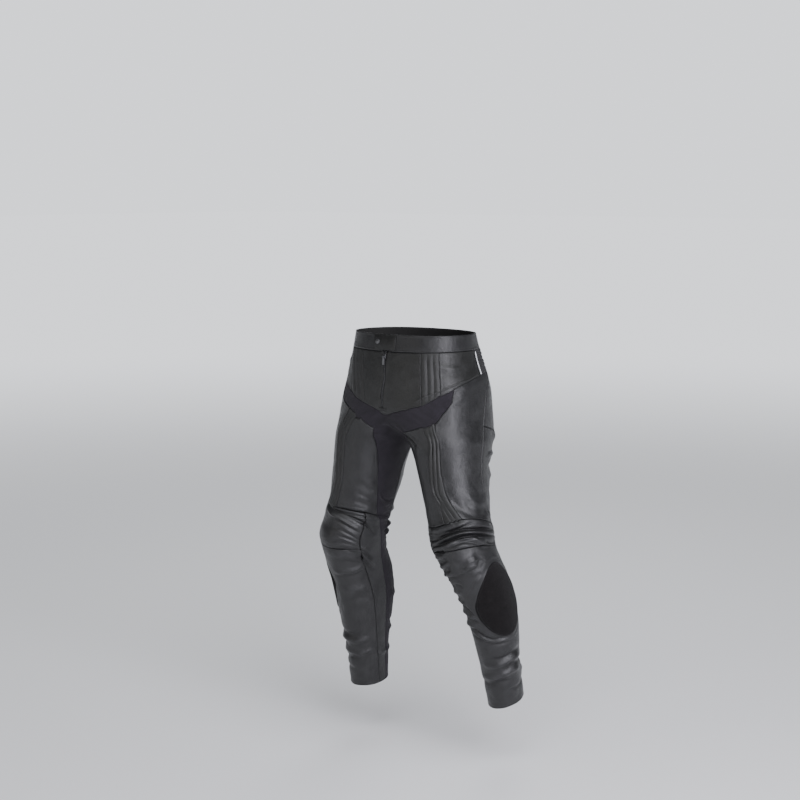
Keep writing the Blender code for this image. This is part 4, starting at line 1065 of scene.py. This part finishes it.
def rim_ways(mesh):
    """For each point on the rim, its way into the panel."""
    ways = {}
    for vert in mesh.verts:
        inward = Vector()
        for edge in vert.link_edges:
            if edge.is_boundary:
                along = (edge.verts[1].co - edge.verts[0].co).normalized()
                middle = (edge.verts[0].co + edge.verts[1].co) / 2
                way = edge.link_faces[0].calc_center_median() - middle
                inward += (way - along * way.dot(along)).normalized()
        if inward.length > 0:
            ways[vert] = inward.normalized()
    return ways


def set_rim(mesh, panel):
    """Lifts the rim where the panel laps over and sinks it where it tucks under.

    Returns the points that lie on top and the ways into the panel.
    """
    rank = mesh.verts.layers.float["top_rank"]
    rim = [vert for vert in mesh.verts if vert.is_boundary]
    on_top = {vert for vert in rim if vert[rank] <= panel.rank + 0.5}
    ways = rim_ways(mesh)
    nearest = [min(edge.calc_length() for edge in vert.link_edges) for vert in rim]
    for vert, cell in zip(rim, nearest):
        rise = EDGE_LIFT if vert in on_top else -EDGE_SUNK
        vert.co += vert.normal * rise * min(cell / SHORT_CELL, 1.0)
    return on_top, ways


def tree_of(places):
    """A tree that finds the nearest of some places."""
    tree = KDTree(len(places))
    for index, place in enumerate(places):
        tree.insert(place, index)
    tree.balance()
    return tree


def distance_to(points, chains):
    """How far points are from lines along the rim, up to the reach of a seam."""
    samples = []
    for chain in chains:
        for a, b in zip(chain, chain[1:]):
            count = max(int((b.co - a.co).length / SEAM_SAMPLE), 1)
            samples.extend(a.co.lerp(b.co, i / count) for i in range(count + 1))
    if not samples:
        return [SEAM_REACH] * len(points)
    tree = tree_of(samples)
    return [min(tree.find(point.co)[2], SEAM_REACH) for point in points]


def lay_flat(mesh, layer):
    """Writes for each point where it lies on the cut piece: aside from its middle, and down."""
    place = mesh.verts.layers.float_vector["place"]
    turns = np.radians([vert[place].x for vert in mesh.verts])
    middle = math.atan2(np.sin(turns).mean(), np.cos(turns).mean())
    for vert, turn in zip(mesh.verts, turns):
        aside = (turn - middle + math.pi) % math.tau - math.pi
        vert[layer] = (aside * vert[place].z, vert[place].y, 0)


STITCHES = []


def sew_path(path, pitch=STITCH_PITCH):
    """Stitches along a line of places with their normals, each one kept for the thread."""
    spare = pitch / 2
    for (a, a_normal), (b, b_normal) in zip(path, path[1:]):
        length = (b - a).length
        while spare <= length:
            share = spare / length
            STITCHES.append((a.lerp(b, share), (b - a) / length, a_normal.lerp(b_normal, share)))
            spare += pitch
        spare -= length


def sew(mesh, chains, ways, rows):
    """Rows of stitches along the rim of a panel."""
    tree = BVHTree.FromBMesh(mesh)
    for chain in chains:
        for inset in rows:
            path = []
            for vert in chain:
                place, normal, _, _ = tree.find_nearest(vert.co + ways[vert] * inset)
                if not path or (place - path[-1][0]).length > STITCH_APART:
                    path.append((place, normal))
            sew_path(path)


def add_wall(thing, thick):
    """Gives a sheet its thickness, behind its face."""
    wall = thing.modifiers.new("wall", "SOLIDIFY")
    wall.thickness = thick
    wall.offset = -1
    return wall


def declare(thing, replaces, slot, body="trousers"):
    """Hides the solid a piece stands for and hangs the piece on the body it rides on; its slot, what it is
    made of, is not used.
    """
    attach(thing, body)
    if replaces:
        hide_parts(replaces)


def dress_panel(name, finish, flat, rows=STITCH_ROWS, slot="black_leather", inside=None):
    """Its flat size, its width, its length and its area, is not used.
    """
    panel = next(panel for panel in PANELS if panel.name == name)
    thing = cut_panels[name]
    mesh = bmesh.new()
    mesh.from_mesh(thing.data)
    seam = mesh.verts.layers.float_vector.new("seam")
    cloth = mesh.verts.layers.float_vector.new("cloth")
    mesh.normal_update()
    on_top, ways = set_rim(mesh, panel)
    top_edges = {e for e in mesh.edges if e.is_boundary and (e.verts[0] in on_top or e.verts[1] in on_top)}
    tops = edge_chains(mesh, lambda edge: edge in top_edges)
    unders = edge_chains(mesh, lambda edge: edge.is_boundary and edge not in top_edges)
    lay_flat(mesh, cloth)
    far = zip(distance_to(mesh.verts, tops), distance_to(mesh.verts, unders))
    for vert, (far_top, far_under) in zip(mesh.verts, far):
        vert[seam] = (far_top, far_under, 0)
    if rows:
        sew(mesh, tops, ways, rows)
    mesh.to_mesh(thing.data)
    mesh.free()
    thing.name = f"{name}_cloth"
    thing.data.name = thing.name
    thing.data.materials.clear()
    thing.data.materials.append(finish)
    thing.data.materials.append(inside or FLESH)
    thing.data.shade_smooth()
    add_wall(thing, panel.thick).material_offset = 1
    declare(thing, name, slot)
    width, length, area = flat


def dress_pair(kind, finish, left, right, **more):
    """Finishes the left and the right panel of a kind."""
    dress_panel(f"{kind}_left", finish, left, **more)
    dress_panel(f"{kind}_right", finish, right, **more)


# The second colour of each leather is the lighter one on the ridges of the folds: painted highlight and
# rubbing.
YOKE_LEATHER = leather("yoke_leather", (0.0078, 0.0078, 0.0074), (0.017, 0.017, 0.0164), (0.47, 0.37))
FLESH = flesh_side()
dress_pair("yoke_front", YOKE_LEATHER, (0.123, 0.161, 0.0154), (0.077, 0.161, 0.0094))
dress_pair("yoke_side", YOKE_LEATHER, (0.124, 0.106, 0.0101), (0.160, 0.115, 0.0115))

# ---- Ribs of the yoke ------------------------------------------------------------------------
# A strip of leather over each hip bone, stitched down in lines over foam so that it stands up in
# padded ribs and gives when the wearer crouches.
RIB_ROWS = (0.0018,)
RIBBED = leather("ribbed_leather", (0.0100, 0.0100, 0.0097), (0.021, 0.021, 0.0204), (0.60, 0.50))
dress_pair("yoke_ribs", RIBBED, (0.049, 0.130, 0.0060), (0.062, 0.133, 0.0071), rows=RIB_ROWS,
           slot="ribbed_leather")

# ---- Seat ------------------------------------------------------------------------------------
# Two halves of leather over the seat, sewn to each other at the centre back. The backs of the
# thighs lap over their lower edges.
BLACK = leather("black_leather", (0.0090, 0.0089, 0.0093), (0.0205, 0.0203, 0.0212), (0.46, 0.36))
dress_pair("seat", BLACK, (0.300, 0.170, 0.0412), (0.307, 0.170, 0.0412))

# ---- Inner stretch ---------------------------------------------------------------------------
# Matt aramid stretch cloth between the legs, from under the fly down the inner thighs to the
# knees. Its fine ribs run down the leg, and the leather round it laps over its edges.
WEAVE_PITCH = 0.0016
WEAVE_DEEP = 0.00016
WEAVE_SEAM_DEEP = 0.0004


def make_weave_group():
    """Fine ribs of a stretch cloth, each broken up into short floats, and how rubbed they are."""
    group, start, end = new_group(
        "stretch_weave",
        [("Cloth", "NodeSocketVector", None), ("Pitch", "NodeSocketFloat", 0.0016)],
        [("Height", "NodeSocketFloat"), ("Tone", "NodeSocketFloat")],
    )
    way = add_node(group, "ShaderNodeSeparateXYZ", links={0: start.outputs["Cloth"]})
    turns = sums(group, "DIVIDE", math.tau, start.outputs["Pitch"])
    across = sums(group, "SINE", sums(group, "MULTIPLY", way.outputs["X"], turns), 0.0)
    step = sums(group, "MULTIPLY", across, 1.2)
    along = sums(group, "MULTIPLY", sums(group, "MULTIPLY", way.outputs["Y"], turns), 0.7)
    floats = sums(group, "SINE", sums(group, "ADD", along, step), 0.0)
    height = sums(group, "ADD", sums(group, "MULTIPLY", across, 0.6), sums(group, "MULTIPLY", floats, 0.4))
    group.links.new(height, end.inputs["Height"])
    group.links.new(speckle(group, start.outputs["Cloth"], 38, 4).outputs[0], end.inputs["Tone"])
    return group


WEAVE_GROUP = make_weave_group()


def woven(name, deep, high, pitch, relief, sheen):
    """A cloth of fine ribs, with painted shade darker between them, a little sheen and no gloss."""
    made, tree, shader = new_finish(name, 0.82, Sheen_Weight=sheen, Sheen_Roughness=0.5,
                                    Specular_IOR_Level=0.22)
    weave = add_node(tree, "ShaderNodeGroup", {"node_tree": WEAVE_GROUP}, {"Pitch": pitch},
                     {"Cloth": kept_value(tree, "cloth")})
    seams = seams_of(tree, object_place(tree))
    # Painted shade: the colour darkens in the grooves between the ribs, and varies with how rubbed they are.
    crest_light_and_rubbing = sums(tree, "MULTIPLY", sums(tree, "ADD", weave.outputs["Height"], 1.2), weave.outputs["Tone"])
    tree.links.new(two_tone(tree, crest_light_and_rubbing, deep, high), shader.inputs["Base Color"])
    height = sums(tree, "ADD", sums(tree, "MULTIPLY", weave.outputs["Height"], relief),
                  sums(tree, "MULTIPLY", seams.outputs["Height"], WEAVE_SEAM_DEEP))
    raise_height(tree, shader, height)
    return made


STRETCH = woven("stretch_cloth", (0.0072, 0.0060, 0.0080), (0.021, 0.0178, 0.0235), WEAVE_PITCH,
                WEAVE_DEEP, 0.05)
AS_CLOTH = {"rows": (), "slot": "stretch_cloth", "inside": STRETCH}
dress_pair("inner_stretch", STRETCH, (0.186, 0.353, 0.0375), (0.192, 0.362, 0.0353), **AS_CLOTH)

# ---- Thighs ----------------------------------------------------------------------------------
# Leather to the knee on all the other sides: inner, outer and back pieces, with a strip of
# stitched padded ribs down the front.
dress_pair("thigh_inner", BLACK, (0.130, 0.242, 0.0218), (0.117, 0.261, 0.0226))
dress_pair("thigh_outer", BLACK, (0.158, 0.393, 0.0417), (0.188, 0.395, 0.0466))
dress_pair("thigh_back", BLACK, (0.261, 0.263, 0.0544), (0.259, 0.263, 0.0546))
dress_pair("thigh_ribs", RIBBED, (0.052, 0.257, 0.0088), (0.051, 0.278, 0.0103), rows=RIB_ROWS,
           slot="ribbed_leather")

# ---- Knee pleats -----------------------------------------------------------------------------
# A band of softer leather over each knee, cut longer than the gap it fills so that it folds up
# above the bent knee. The leather above and below it laps over its edges.
dress_pair("knee_pleats", BLACK, (0.278, 0.089, 0.0231), (0.304, 0.100, 0.0292), slot="ribbed_leather")

# ---- Shins and calves ------------------------------------------------------------------------
# Below the knee one large leather piece runs round the front, with an inner and an outer piece
# behind it. Their lower edges are turned in and sewn as the hem, which tucks into a boot.
dress_pair("shin_front", BLACK, (0.288, 0.422, 0.1088), (0.302, 0.401, 0.1040))
dress_pair("calf_inner", BLACK, (0.080, 0.494, 0.0255), (0.067, 0.493, 0.0205))
dress_pair("calf_outer", BLACK, (0.155, 0.477, 0.0369), (0.154, 0.476, 0.0375))

# ---- Calf stretch ----------------------------------------------------------------------------
# A long gusset of the same stretch cloth up the back of each calf, from the hem to the knee, so
# that the leg closes tightly and still gives. The leather on both sides laps over its edges.
dress_pair("calf_stretch", STRETCH, (0.073, 0.488, 0.0188), (0.065, 0.487, 0.0181), **AS_CLOTH)

# ---- Lumbar panel ----------------------------------------------------------------------------
# An elastic panel under the waistband at the back: cloth gathered on rows of elastic thread, so
# that it stands in small round pleats from hip to hip.
PLEAT_PITCH = 0.0092
PLEAT_HIGH = 0.0026
PLEAT_SHARP = 0.7
PLEAT_LOW = 0.45                # the valleys lie this share of its height under the plain panel
PLEAT_UNEVEN = 0.4
LUMBAR_FADE = 0.006
LUMBAR = woven("lumbar_cloth", (0.006, 0.006, 0.0065), (0.020, 0.0195, 0.0205), 0.0013, 0.00014, 0.04)
lumbar = bmesh.new()
lumbar.from_mesh(cut_panels["lumbar_panel"].data)
bmesh.ops.subdivide_edges(lumbar, edges=lumbar.edges, cuts=1, use_grid_fill=True, smooth=1.0)
lumbar.normal_update()
rim_tree = tree_of([vert.co.copy() for vert in lumbar.verts if vert.is_boundary])
place = lumbar.verts.layers.float_vector["place"]
moves = {}
for vert in lumbar.verts:
    crest = abs(math.sin(math.pi * vert[place].y / PLEAT_PITCH)) ** PLEAT_SHARP
    fade = smooth_step(0.0, LUMBAR_FADE, rim_tree.find(vert.co)[2])
    uneven = 0.8 + PLEAT_UNEVEN * noise.noise(vert.co * 30)
    moves[vert] = vert.normal * PLEAT_HIGH * (crest * uneven - PLEAT_LOW) * fade
for vert, move in moves.items():
    vert.co += move
lumbar.to_mesh(cut_panels["lumbar_panel"].data)
lumbar.free()
dress_panel("lumbar_panel", LUMBAR, (0.400, 0.079, 0.0314), (), "lumbar_cloth", LUMBAR)

# ---- Waistband -------------------------------------------------------------------------------
# A strip of leather folded double and sewn along both edges, round the top of the yoke and the
# lumbar panel. It opens at the centre front, where a tab laps over.
dress_panel("waistband", BLACK, (0.900, 0.042, 0.0377))

# ---- Slider patches --------------------------------------------------------------------------
# An oval of stiff loop pile on the outer side of each shin, where a plastic knee slider is stuck
# on for the track. Its edge is turned under and sewn down.
PATCH_THICK = 0.0028
PATCH_SUNK = 0.0009
PATCH_OVER = 0.0009
PATCH_ROUNDED = 0.10            # the share of its reach over which the edge rounds down
PATCH_EDGE = 0.9
PATCH_MISS = 0.8                # where a ray passes the leg by, this share of its depth is tried
PATCH_STEPS = 30
PATCH_SPOKES = 120
PATCH_ROUNDS = 2
PATCH_MERGE = 0.00004
PATCH_WALL = 0.0012
PATCH_STITCHES = 0.955          # how far out its row of stitches runs
LOOP_SIZE = 0.0011


def loop_pile():
    """Matt loop pile: small curled loops in rough rows, with painted shade dark between them."""
    made, tree, shader = new_finish("loop_pile", 0.95, Sheen_Weight=0.03, Sheen_Roughness=0.6,
                                    Specular_IOR_Level=0.12)
    place = object_place(tree)
    moved = shifted(tree, place, speckle(tree, place, 260, 3), 0.0014)
    loops = add_node(tree, "ShaderNodeTexVoronoi", {"feature": "SMOOTH_F1"},
                     {"Scale": 1 / LOOP_SIZE, "Smoothness": 0.4}, {"Vector": moved})
    high = smooth_range(tree, loops.outputs["Distance"], From_Min=0.75, From_Max=0.15)
    # Painted shade: the colour is darkest between the loops, and varies at random over the patch.
    crest_light_and_rubbing = sums(tree, "MULTIPLY", high, speckle(tree, place, 55, 3).outputs[0])
    tint = two_tone(tree, crest_light_and_rubbing, (0.0030, 0.0026, 0.0028), (0.0180, 0.0150, 0.0160))
    tree.links.new(tint, shader.inputs["Base Color"])
    raise_height(tree, shader, high, 0.0005)
    return made


def keep_piece(mesh, name, finish, replaces, slot, body="trousers"):
    """Makes an object of a mesh, hides the solid it stands for and hangs it on the body it rides on."""
    thing = add_object(name, finished_data(mesh, name))
    thing.data.materials.append(finish)
    thing.data.shade_smooth()
    declare(thing, replaces, slot, body)
    return thing


def meet(tree, start, way):
    """Where a ray meets this leg, or the point nearest to where it passes by."""
    hit = tree.ray_cast(start, way, PATCH_OUTSIDE + PATCH_DEEPEST)
    return hit if hit[0] else tree.find_nearest(start + way * (PATCH_OUTSIDE + PATCH_DEEPEST * PATCH_MISS))


def make_patch(leg_name):
    """A grid wound into an oval, laid on the skin and raised off it by its thickness."""
    leg = LEGS[leg_name]
    ways = patch_ways(SMOOTH_TREE, leg)
    oval = bmesh.new()
    bmesh.ops.create_grid(oval, x_segments=PATCH_STEPS, y_segments=PATCH_SPOKES, size=0.5)
    for vert in oval.verts:
        share, turn = vert.co.x + 0.5, math.tau * (vert.co.y + 0.5)
        start, way = patch_ray(leg, ways, turn, share)
        under, _, _, far = meet(SKIN_TREE, start, way)
        plain, plain_normal, _, _ = meet(SMOOTH_TREE, start, way)
        rounded = min(max((share - 1 + PATCH_ROUNDED) / PATCH_ROUNDED, 0.0), 1.0)
        height = (PATCH_THICK + PATCH_SUNK) * math.sqrt(1 - rounded**2) - PATCH_SUNK
        stiff = under.lerp(plain, 1 - rounded)
        vert.co = stiff + (plain_normal * height) * (1 if plain_normal.dot(way) < 0 else -1)
        if far < (start - vert.co).length + PATCH_OVER and rounded < PATCH_EDGE:
            vert.co = under - way * PATCH_OVER
    bmesh.ops.remove_doubles(oval, verts=oval.verts, dist=PATCH_MERGE)
    inner = [vert for vert in oval.verts if not vert.is_boundary]
    for _ in range(PATCH_ROUNDS):
        bmesh.ops.smooth_vert(oval, verts=inner, factor=0.5, use_axis_x=True, use_axis_y=True,
                              use_axis_z=True)
    bmesh.ops.recalc_face_normals(oval, faces=oval.faces)
    out = ways[3] * Vector((leg.side, 1, 1))
    if sum(face.normal.dot(out) for face in oval.faces) < 0:
        bmesh.ops.reverse_faces(oval, faces=oval.faces)
    oval.normal_update()
    tree = BVHTree.FromBMesh(oval)
    edge = [tree.ray_cast(*ray) for ray in patch_rays(leg, ways, PATCH_SPOKES * 2, PATCH_STITCHES)]
    rings = [[hit[:2] for hit in edge if hit[0]]]
    for grow, _, height in PATCH_RINGS:
        if height < 0:
            rays = patch_rays(leg, ways, PATCH_SPOKES * 2, 1.0, grow)
            rings.append([meet(SKIN_TREE, *ray)[:2] for ray in rays])
    for ring in rings:
        sew_path(ring + ring[:1])
    name = f"slider_patch_{leg_name}"
    thing = keep_piece(oval, f"{name}_pile", LOOP_PILE, name, "loop_pile")
    add_wall(thing, PATCH_WALL)


LOOP_PILE = loop_pile()
for leg_name in LEGS:
    make_patch(leg_name)

# ---- Piping ----------------------------------------------------------------------------------
# A light reflective cord sewn into the seam between the yoke and the lumbar panel on each hip:
# a soft core in silver grey cloth cut on the bias.
PIPING_SMOOTH = 2


def banded(name, rough, scale, distortion, dark, light, **sockets):
    """A cloth with fine slanting bands, raised a little where they are light."""
    made, tree, shader = new_finish(name, rough, **sockets)
    bands = add_node(tree, "ShaderNodeTexWave", {"bands_direction": "DIAGONAL"},
                     {"Scale": scale, "Distortion": distortion}, {"Vector": object_place(tree)}).outputs[0]
    tree.links.new(two_tone(tree, bands, dark, light), shader.inputs["Base Color"])
    raise_height(tree, shader, bands, 0.0002)
    return made


PIPING = banded("light_piping", 0.42, 420, 1.5, (0.46, 0.47, 0.48), (0.80, 0.81, 0.82), Sheen_Weight=0.1)
for leg_name in LEGS:
    piping = f"piping_{leg_name}"
    cord = keep_piece(weld_copy(piping), f"{piping}_cord", PIPING, piping, "light_piping")
    add_rounding(cord, PIPING_SMOOTH)

# ---- Waist tab -------------------------------------------------------------------------------
# The waistband closes at the front with a tab of folded leather, sewn down all round its edge
# and held by a snap.
TAB_BEVEL = 0.0006
TAB_STITCH_IN = 0.0030
TAB_STEPS = 12
SHARP_EDGE = math.radians(30)


def soften(mesh, width):
    """Rounds the sharp edges of a mesh."""
    edges = [e for e in mesh.edges if len(e.link_faces) == 2 and e.calc_face_angle(0) > SHARP_EDGE]
    bmesh.ops.bevel(mesh, geom=edges, offset=width, affect="EDGES", segments=2, profile=0.5,
                    material=-1, clamp_overlap=True)
    mesh.normal_update()


tab = weld_copy("waist_tab")
front = dict.fromkeys(vert for face in tab.faces if face.normal.y < -0.9 for vert in face.verts)
upper = sorted((vert for vert in front if vert.co.z > 0), key=lambda vert: vert.co.x)
lower = sorted((vert for vert in front if vert.co.z < 0), key=lambda vert: vert.co.x)
way_down = (lower[0].co - upper[0].co).normalized() * TAB_STITCH_IN
way_aside = Vector((TAB_STITCH_IN, 0, 0))
corners = [vert.co + way_down for vert in upper] + [vert.co - way_down for vert in reversed(lower)]
inset = [c + way_aside * (1 if c.x < upper[1].co.x else -1 if c.x > upper[-2].co.x else 0) for c in corners]
tab_front = BVHTree.FromBMesh(tab)
loop = [a.lerp(b, i / TAB_STEPS) for a, b in zip(inset, inset[1:] + inset[:1]) for i in range(TAB_STEPS)]
sew_path([tab_front.find_nearest(spot)[:2] for spot in loop])
soften(tab, TAB_BEVEL)
keep_piece(tab, "waist_tab_leather", YOKE_LEATHER, "waist_tab", "black_leather")

# ---- Snap ------------------------------------------------------------------------------------
# A domed cap of blackened brass, pressed through the tab and closed over a socket behind it. A
# shallow ring runs round the dome.
SNAP_RINGS = ((0.0065, 0.0), (0.0065, 0.0008), (0.0060, 0.0014), (0.0050, 0.0015), (0.0046, 0.0013),
              (0.0042, 0.0015), (0.0030, 0.0021), (0.0015, 0.0024), (0.0, 0.0025))
SNAP_STEPS = 40


def gunmetal(name, colour, rough):
    """Blackened brass, rubbed brighter on its high spots, with fine scratches."""
    made, tree, shader = new_finish(name, rough, 0.9)
    rubbed = speckle(tree, object_place(tree), 700, 5).outputs[0]
    tint = two_tone(tree, rubbed, [c * 0.6 for c in colour], [c * 1.5 for c in colour])
    tree.links.new(tint, shader.inputs["Base Color"])
    gloss = plain_range(tree, rubbed, To_Min=rough - 0.08, To_Max=rough + 0.12)
    tree.links.new(gloss, shader.inputs["Roughness"])
    return made


GUNMETAL = gunmetal("gunmetal", (0.12, 0.12, 0.125), 0.34)
drum = frame["nodes"]["waist_snap"].data
cap = max(drum.polygons, key=lambda face: -face.normal.y * face.area)
snap_out = Vector(cap.normal)
snap_low, snap_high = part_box("waist_snap")
snap_foot = (Vector(snap_low) + Vector(snap_high)) / 2 - snap_out * (SNAP_RINGS[-1][1] / 2)
snap = bmesh.new()
profile = [snap.verts.new((radius, 0, height)) for radius, height in SNAP_RINGS]
rims = [snap.edges.new(pair) for pair in zip(profile, profile[1:])]
bmesh.ops.spin(snap, geom=profile + rims, cent=(0, 0, 0), axis=(0, 0, 1), steps=SNAP_STEPS,
               angle=math.tau, use_merge=True, use_duplicate=False)
bmesh.ops.remove_doubles(snap, verts=snap.verts, dist=SOLID_MERGE)
bmesh.ops.recalc_face_normals(snap, faces=snap.faces)
turned = snap_out.to_track_quat("Z", "Y").to_matrix().to_4x4()
bmesh.ops.transform(snap, matrix=Matrix.Translation(snap_foot) @ turned, verts=snap.verts)
keep_piece(snap, "waist_snap_cap", GUNMETAL, "waist_snap", "gunmetal")

# ---- Zip tape and teeth ----------------------------------------------------------------------
# A metal zip closes the fly: black tape woven in a fine herringbone between the leather edges,
# and teeth clamped on to it, which stand a little apart above the slider.
TAPE_CUTS = 5
TAPE_ROW = 0.02                 # edges that rise more than this run up the tape
TOOTH_PITCH = 0.0022
TOOTH_SIZE = (0.0030, 0.0010, 0.0012)
TOOTH_BEVEL = 0.00022
TOOTH_APART = 0.0011
TOOTH_OUT = 0.0004
OPEN_APART = 0.0006
TO_FRONT = (0.0, -1.0, 0.0)
TO_BACK = Vector((0, 1, 0))
BEFORE_ALL = -1                 # a ray towards the back starts here, a metre in front
ZIP_CLOTH = banded("zip_cloth", 0.8, 380, 0.4, (0.004, 0.004, 0.004), (0.018, 0.018, 0.018),
                   Specular_IOR_Level=0.25)


def bow_of(places):
    """How far the fly is drawn aside at each place."""
    return slide_seams("left", np.array(places), np.tile(TO_FRONT, (len(places), 1)))


tape = weld_copy("zip_tape")
rows = [edge for edge in tape.edges if abs(edge.verts[0].co.z - edge.verts[1].co.z) > TAPE_ROW]
bmesh.ops.subdivide_edges(tape, edges=rows, cuts=TAPE_CUTS, use_grid_fill=True)
for vert, move in zip(tape.verts, bow_of([vert.co for vert in tape.verts])):
    vert.co += Vector(move)
tape.normal_update()
tape_front = BVHTree.FromBMesh(tape)
keep_piece(tape, "zip_tape_woven", ZIP_CLOTH, "zip_tape", "zip_cloth")

tape_low, tape_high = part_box("zip_tape")
slider_low, slider_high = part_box("zip_slider")
open_above = (slider_low[2] + slider_high[2]) / 2
tooth = bmesh.new()
bmesh.ops.create_cube(tooth, size=1.0)
bmesh.ops.scale(tooth, vec=TOOTH_SIZE, verts=tooth.verts)
bmesh.ops.bevel(tooth, geom=tooth.edges[:], offset=TOOTH_BEVEL, affect="EDGES", segments=1, profile=0.5,
                material=-1)
tooth_data = finished_data(tooth, "tooth")
teeth = bmesh.new()
height = tape_low[2] + TOOTH_PITCH * 2
side = 1
while height < tape_high[2] - TOOTH_PITCH / 2:
    spread = OPEN_APART * smooth_step(open_above, tape_high[2], height)
    bow = bow_of([(0.0, tape_low[1], height)])[0][0]
    start = Vector((bow + side * TOOTH_APART, BEFORE_ALL, height))
    place, normal, _, _ = tape_front.ray_cast(start, TO_BACK)
    first = len(teeth.verts)
    teeth.from_mesh(tooth_data)
    teeth.verts.ensure_lookup_table()
    turned = normal.to_track_quat("Y", "Z").to_matrix().to_4x4()
    moved = Matrix.Translation(place + normal * TOOTH_OUT + Vector((side * spread, 0, 0))) @ turned
    bmesh.ops.transform(teeth, matrix=moved, verts=teeth.verts[first:])
    side = -side
    height += TOOTH_PITCH / 2
bpy.data.meshes.remove(tooth_data)
keep_piece(teeth, "zip_teeth", gunmetal("zip_metal", (0.075, 0.075, 0.078), 0.38), None, "gunmetal")

# ---- Slider and pull tab ---------------------------------------------------------------------
# The slider is cast metal and runs on the teeth; it stays where the fly is shown closed. Its
# pull tab hangs from an eye on its front, and only the tab swings.
SLIDER_BEVEL = 0.0005
PULL_BEVEL = 0.0003
slider = weld_copy("zip_slider")
soften(slider, SLIDER_BEVEL)
keep_piece(slider, "zip_slider_body", GUNMETAL, "zip_slider", "gunmetal")
pull = weld_copy("pull_tab")
soften(pull, PULL_BEVEL)
keep_piece(pull, "pull_tab_plate", GUNMETAL, "pull_tab", "gunmetal", body="pull_tab")

# ---- Fly bar ---------------------------------------------------------------------------------
# A short leather bar sewn across the foot of the fly with two rows of stitches, where the zip
# pulls hardest. Its ends turn up a little and its edges round down on to the yoke.
BAR_SIZE = (0.028, 0.0075)
BAR_MIDDLE = (0.0015, -0.1665)
BAR_THICK = 0.0016
BAR_SUNK = 0.0004
BAR_WALL = 0.0012
BAR_TURNED_UP = 0.0020
BAR_STEPS = (28, 8)
BAR_ROWS = (-0.0022, 0.0022)
BAR_ROW_SHARE = 0.9
BAR_ROW_STEPS = 30
ZIP_REACH = 0.0046              # past the edges of the leather beside the zip


def on_bar(aside, up):
    """A place on the bar: a share of half its width aside, and metres above its middle."""
    x = BAR_MIDDLE[0] + aside * BAR_SIZE[0] / 2
    return Vector((x, BEFORE_ALL, BAR_MIDDLE[1] + up))


bar = bmesh.new()
bmesh.ops.create_grid(bar, x_segments=BAR_STEPS[0], y_segments=BAR_STEPS[1], size=0.5)
for vert in bar.verts:
    u, v = vert.co.x * 2, vert.co.y * 2
    rounded = BAR_THICK * (1 - max(abs(u) ** 6, abs(v) ** 4)) - BAR_SUNK
    start = on_bar(u, v * BAR_SIZE[1] / 2 + BAR_TURNED_UP * u * u)
    x = start.x
    start.x = math.copysign(max(abs(x), ZIP_REACH), x)
    place, normal, _, _ = SKIN_TREE.ray_cast(start, TO_BACK)
    place.x = x
    vert.co = place + normal * (1 if normal.y < 0 else -1) * rounded
bmesh.ops.recalc_face_normals(bar, faces=bar.faces)
bar.normal_update()
if sum(face.normal.y for face in bar.faces) > 0:
    bmesh.ops.reverse_faces(bar, faces=bar.faces)
    bar.normal_update()
bar_tree = BVHTree.FromBMesh(bar)
for level in BAR_ROWS:
    shares = [i / BAR_ROW_STEPS * 2 - 1 for i in range(BAR_ROW_STEPS + 1)]
    starts = [on_bar(share * BAR_ROW_SHARE, level + BAR_TURNED_UP * share**2) for share in shares]
    sew_path([hit[:2] for hit in (bar_tree.ray_cast(start, TO_BACK) for start in starts) if hit[0]])
fly_bar = keep_piece(bar, "fly_bar_leather", YOKE_LEATHER, "fly_bar", "black_leather")
add_wall(fly_bar, BAR_WALL)

# ---- Thread ----------------------------------------------------------------------------------
# The stitches of all the pieces above, of bonded black polyester thread, each one a short bead
# drawn a little into the leather. The two halves are kept as a piece each.
STITCH_SIZE = (0.0032, 0.00075, 0.0006)
STITCH_SIDES = (5, 3)
STITCH_SUNK = 0.00005


def make_stitches(name, places):
    """Copies one bead of thread to each place, turned to its seam."""
    stitch = bmesh.new()
    bmesh.ops.create_uvsphere(stitch, u_segments=STITCH_SIDES[0], v_segments=STITCH_SIDES[1], radius=0.5)
    bmesh.ops.scale(stitch, vec=STITCH_SIZE, verts=stitch.verts)
    template = np.array([vert.co for vert in stitch.verts])
    stitch.verts.index_update()
    faces = [[vert.index for vert in face.verts] for face in stitch.faces]
    stitch.free()
    all_points, all_faces = [], []
    for index, (place, along, normal) in enumerate(places):
        across = normal.cross(along).normalized()
        up = along.cross(across).normalized()
        turn = np.array([along, across, up])
        all_points.append(template @ turn + np.array(place - up * STITCH_SUNK))
        all_faces.extend([[v + index * len(template) for v in face] for face in faces])
    data = bpy.data.meshes.new(name)
    data.from_pydata(np.concatenate(all_points).tolist(), [], all_faces)
    data.shade_smooth()
    data.materials.append(THREAD)
    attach(add_object(name, data), "trousers")


THREAD, _, thread_shader = new_finish("thread", 0.5)
thread_shader.inputs["Base Color"].default_value = (0.02, 0.02, 0.021, 1)
make_stitches("stitches_left", [stitch for stitch in STITCHES if stitch[0].x >= 0])
make_stitches("stitches_right", [stitch for stitch in STITCHES if stitch[0].x < 0])
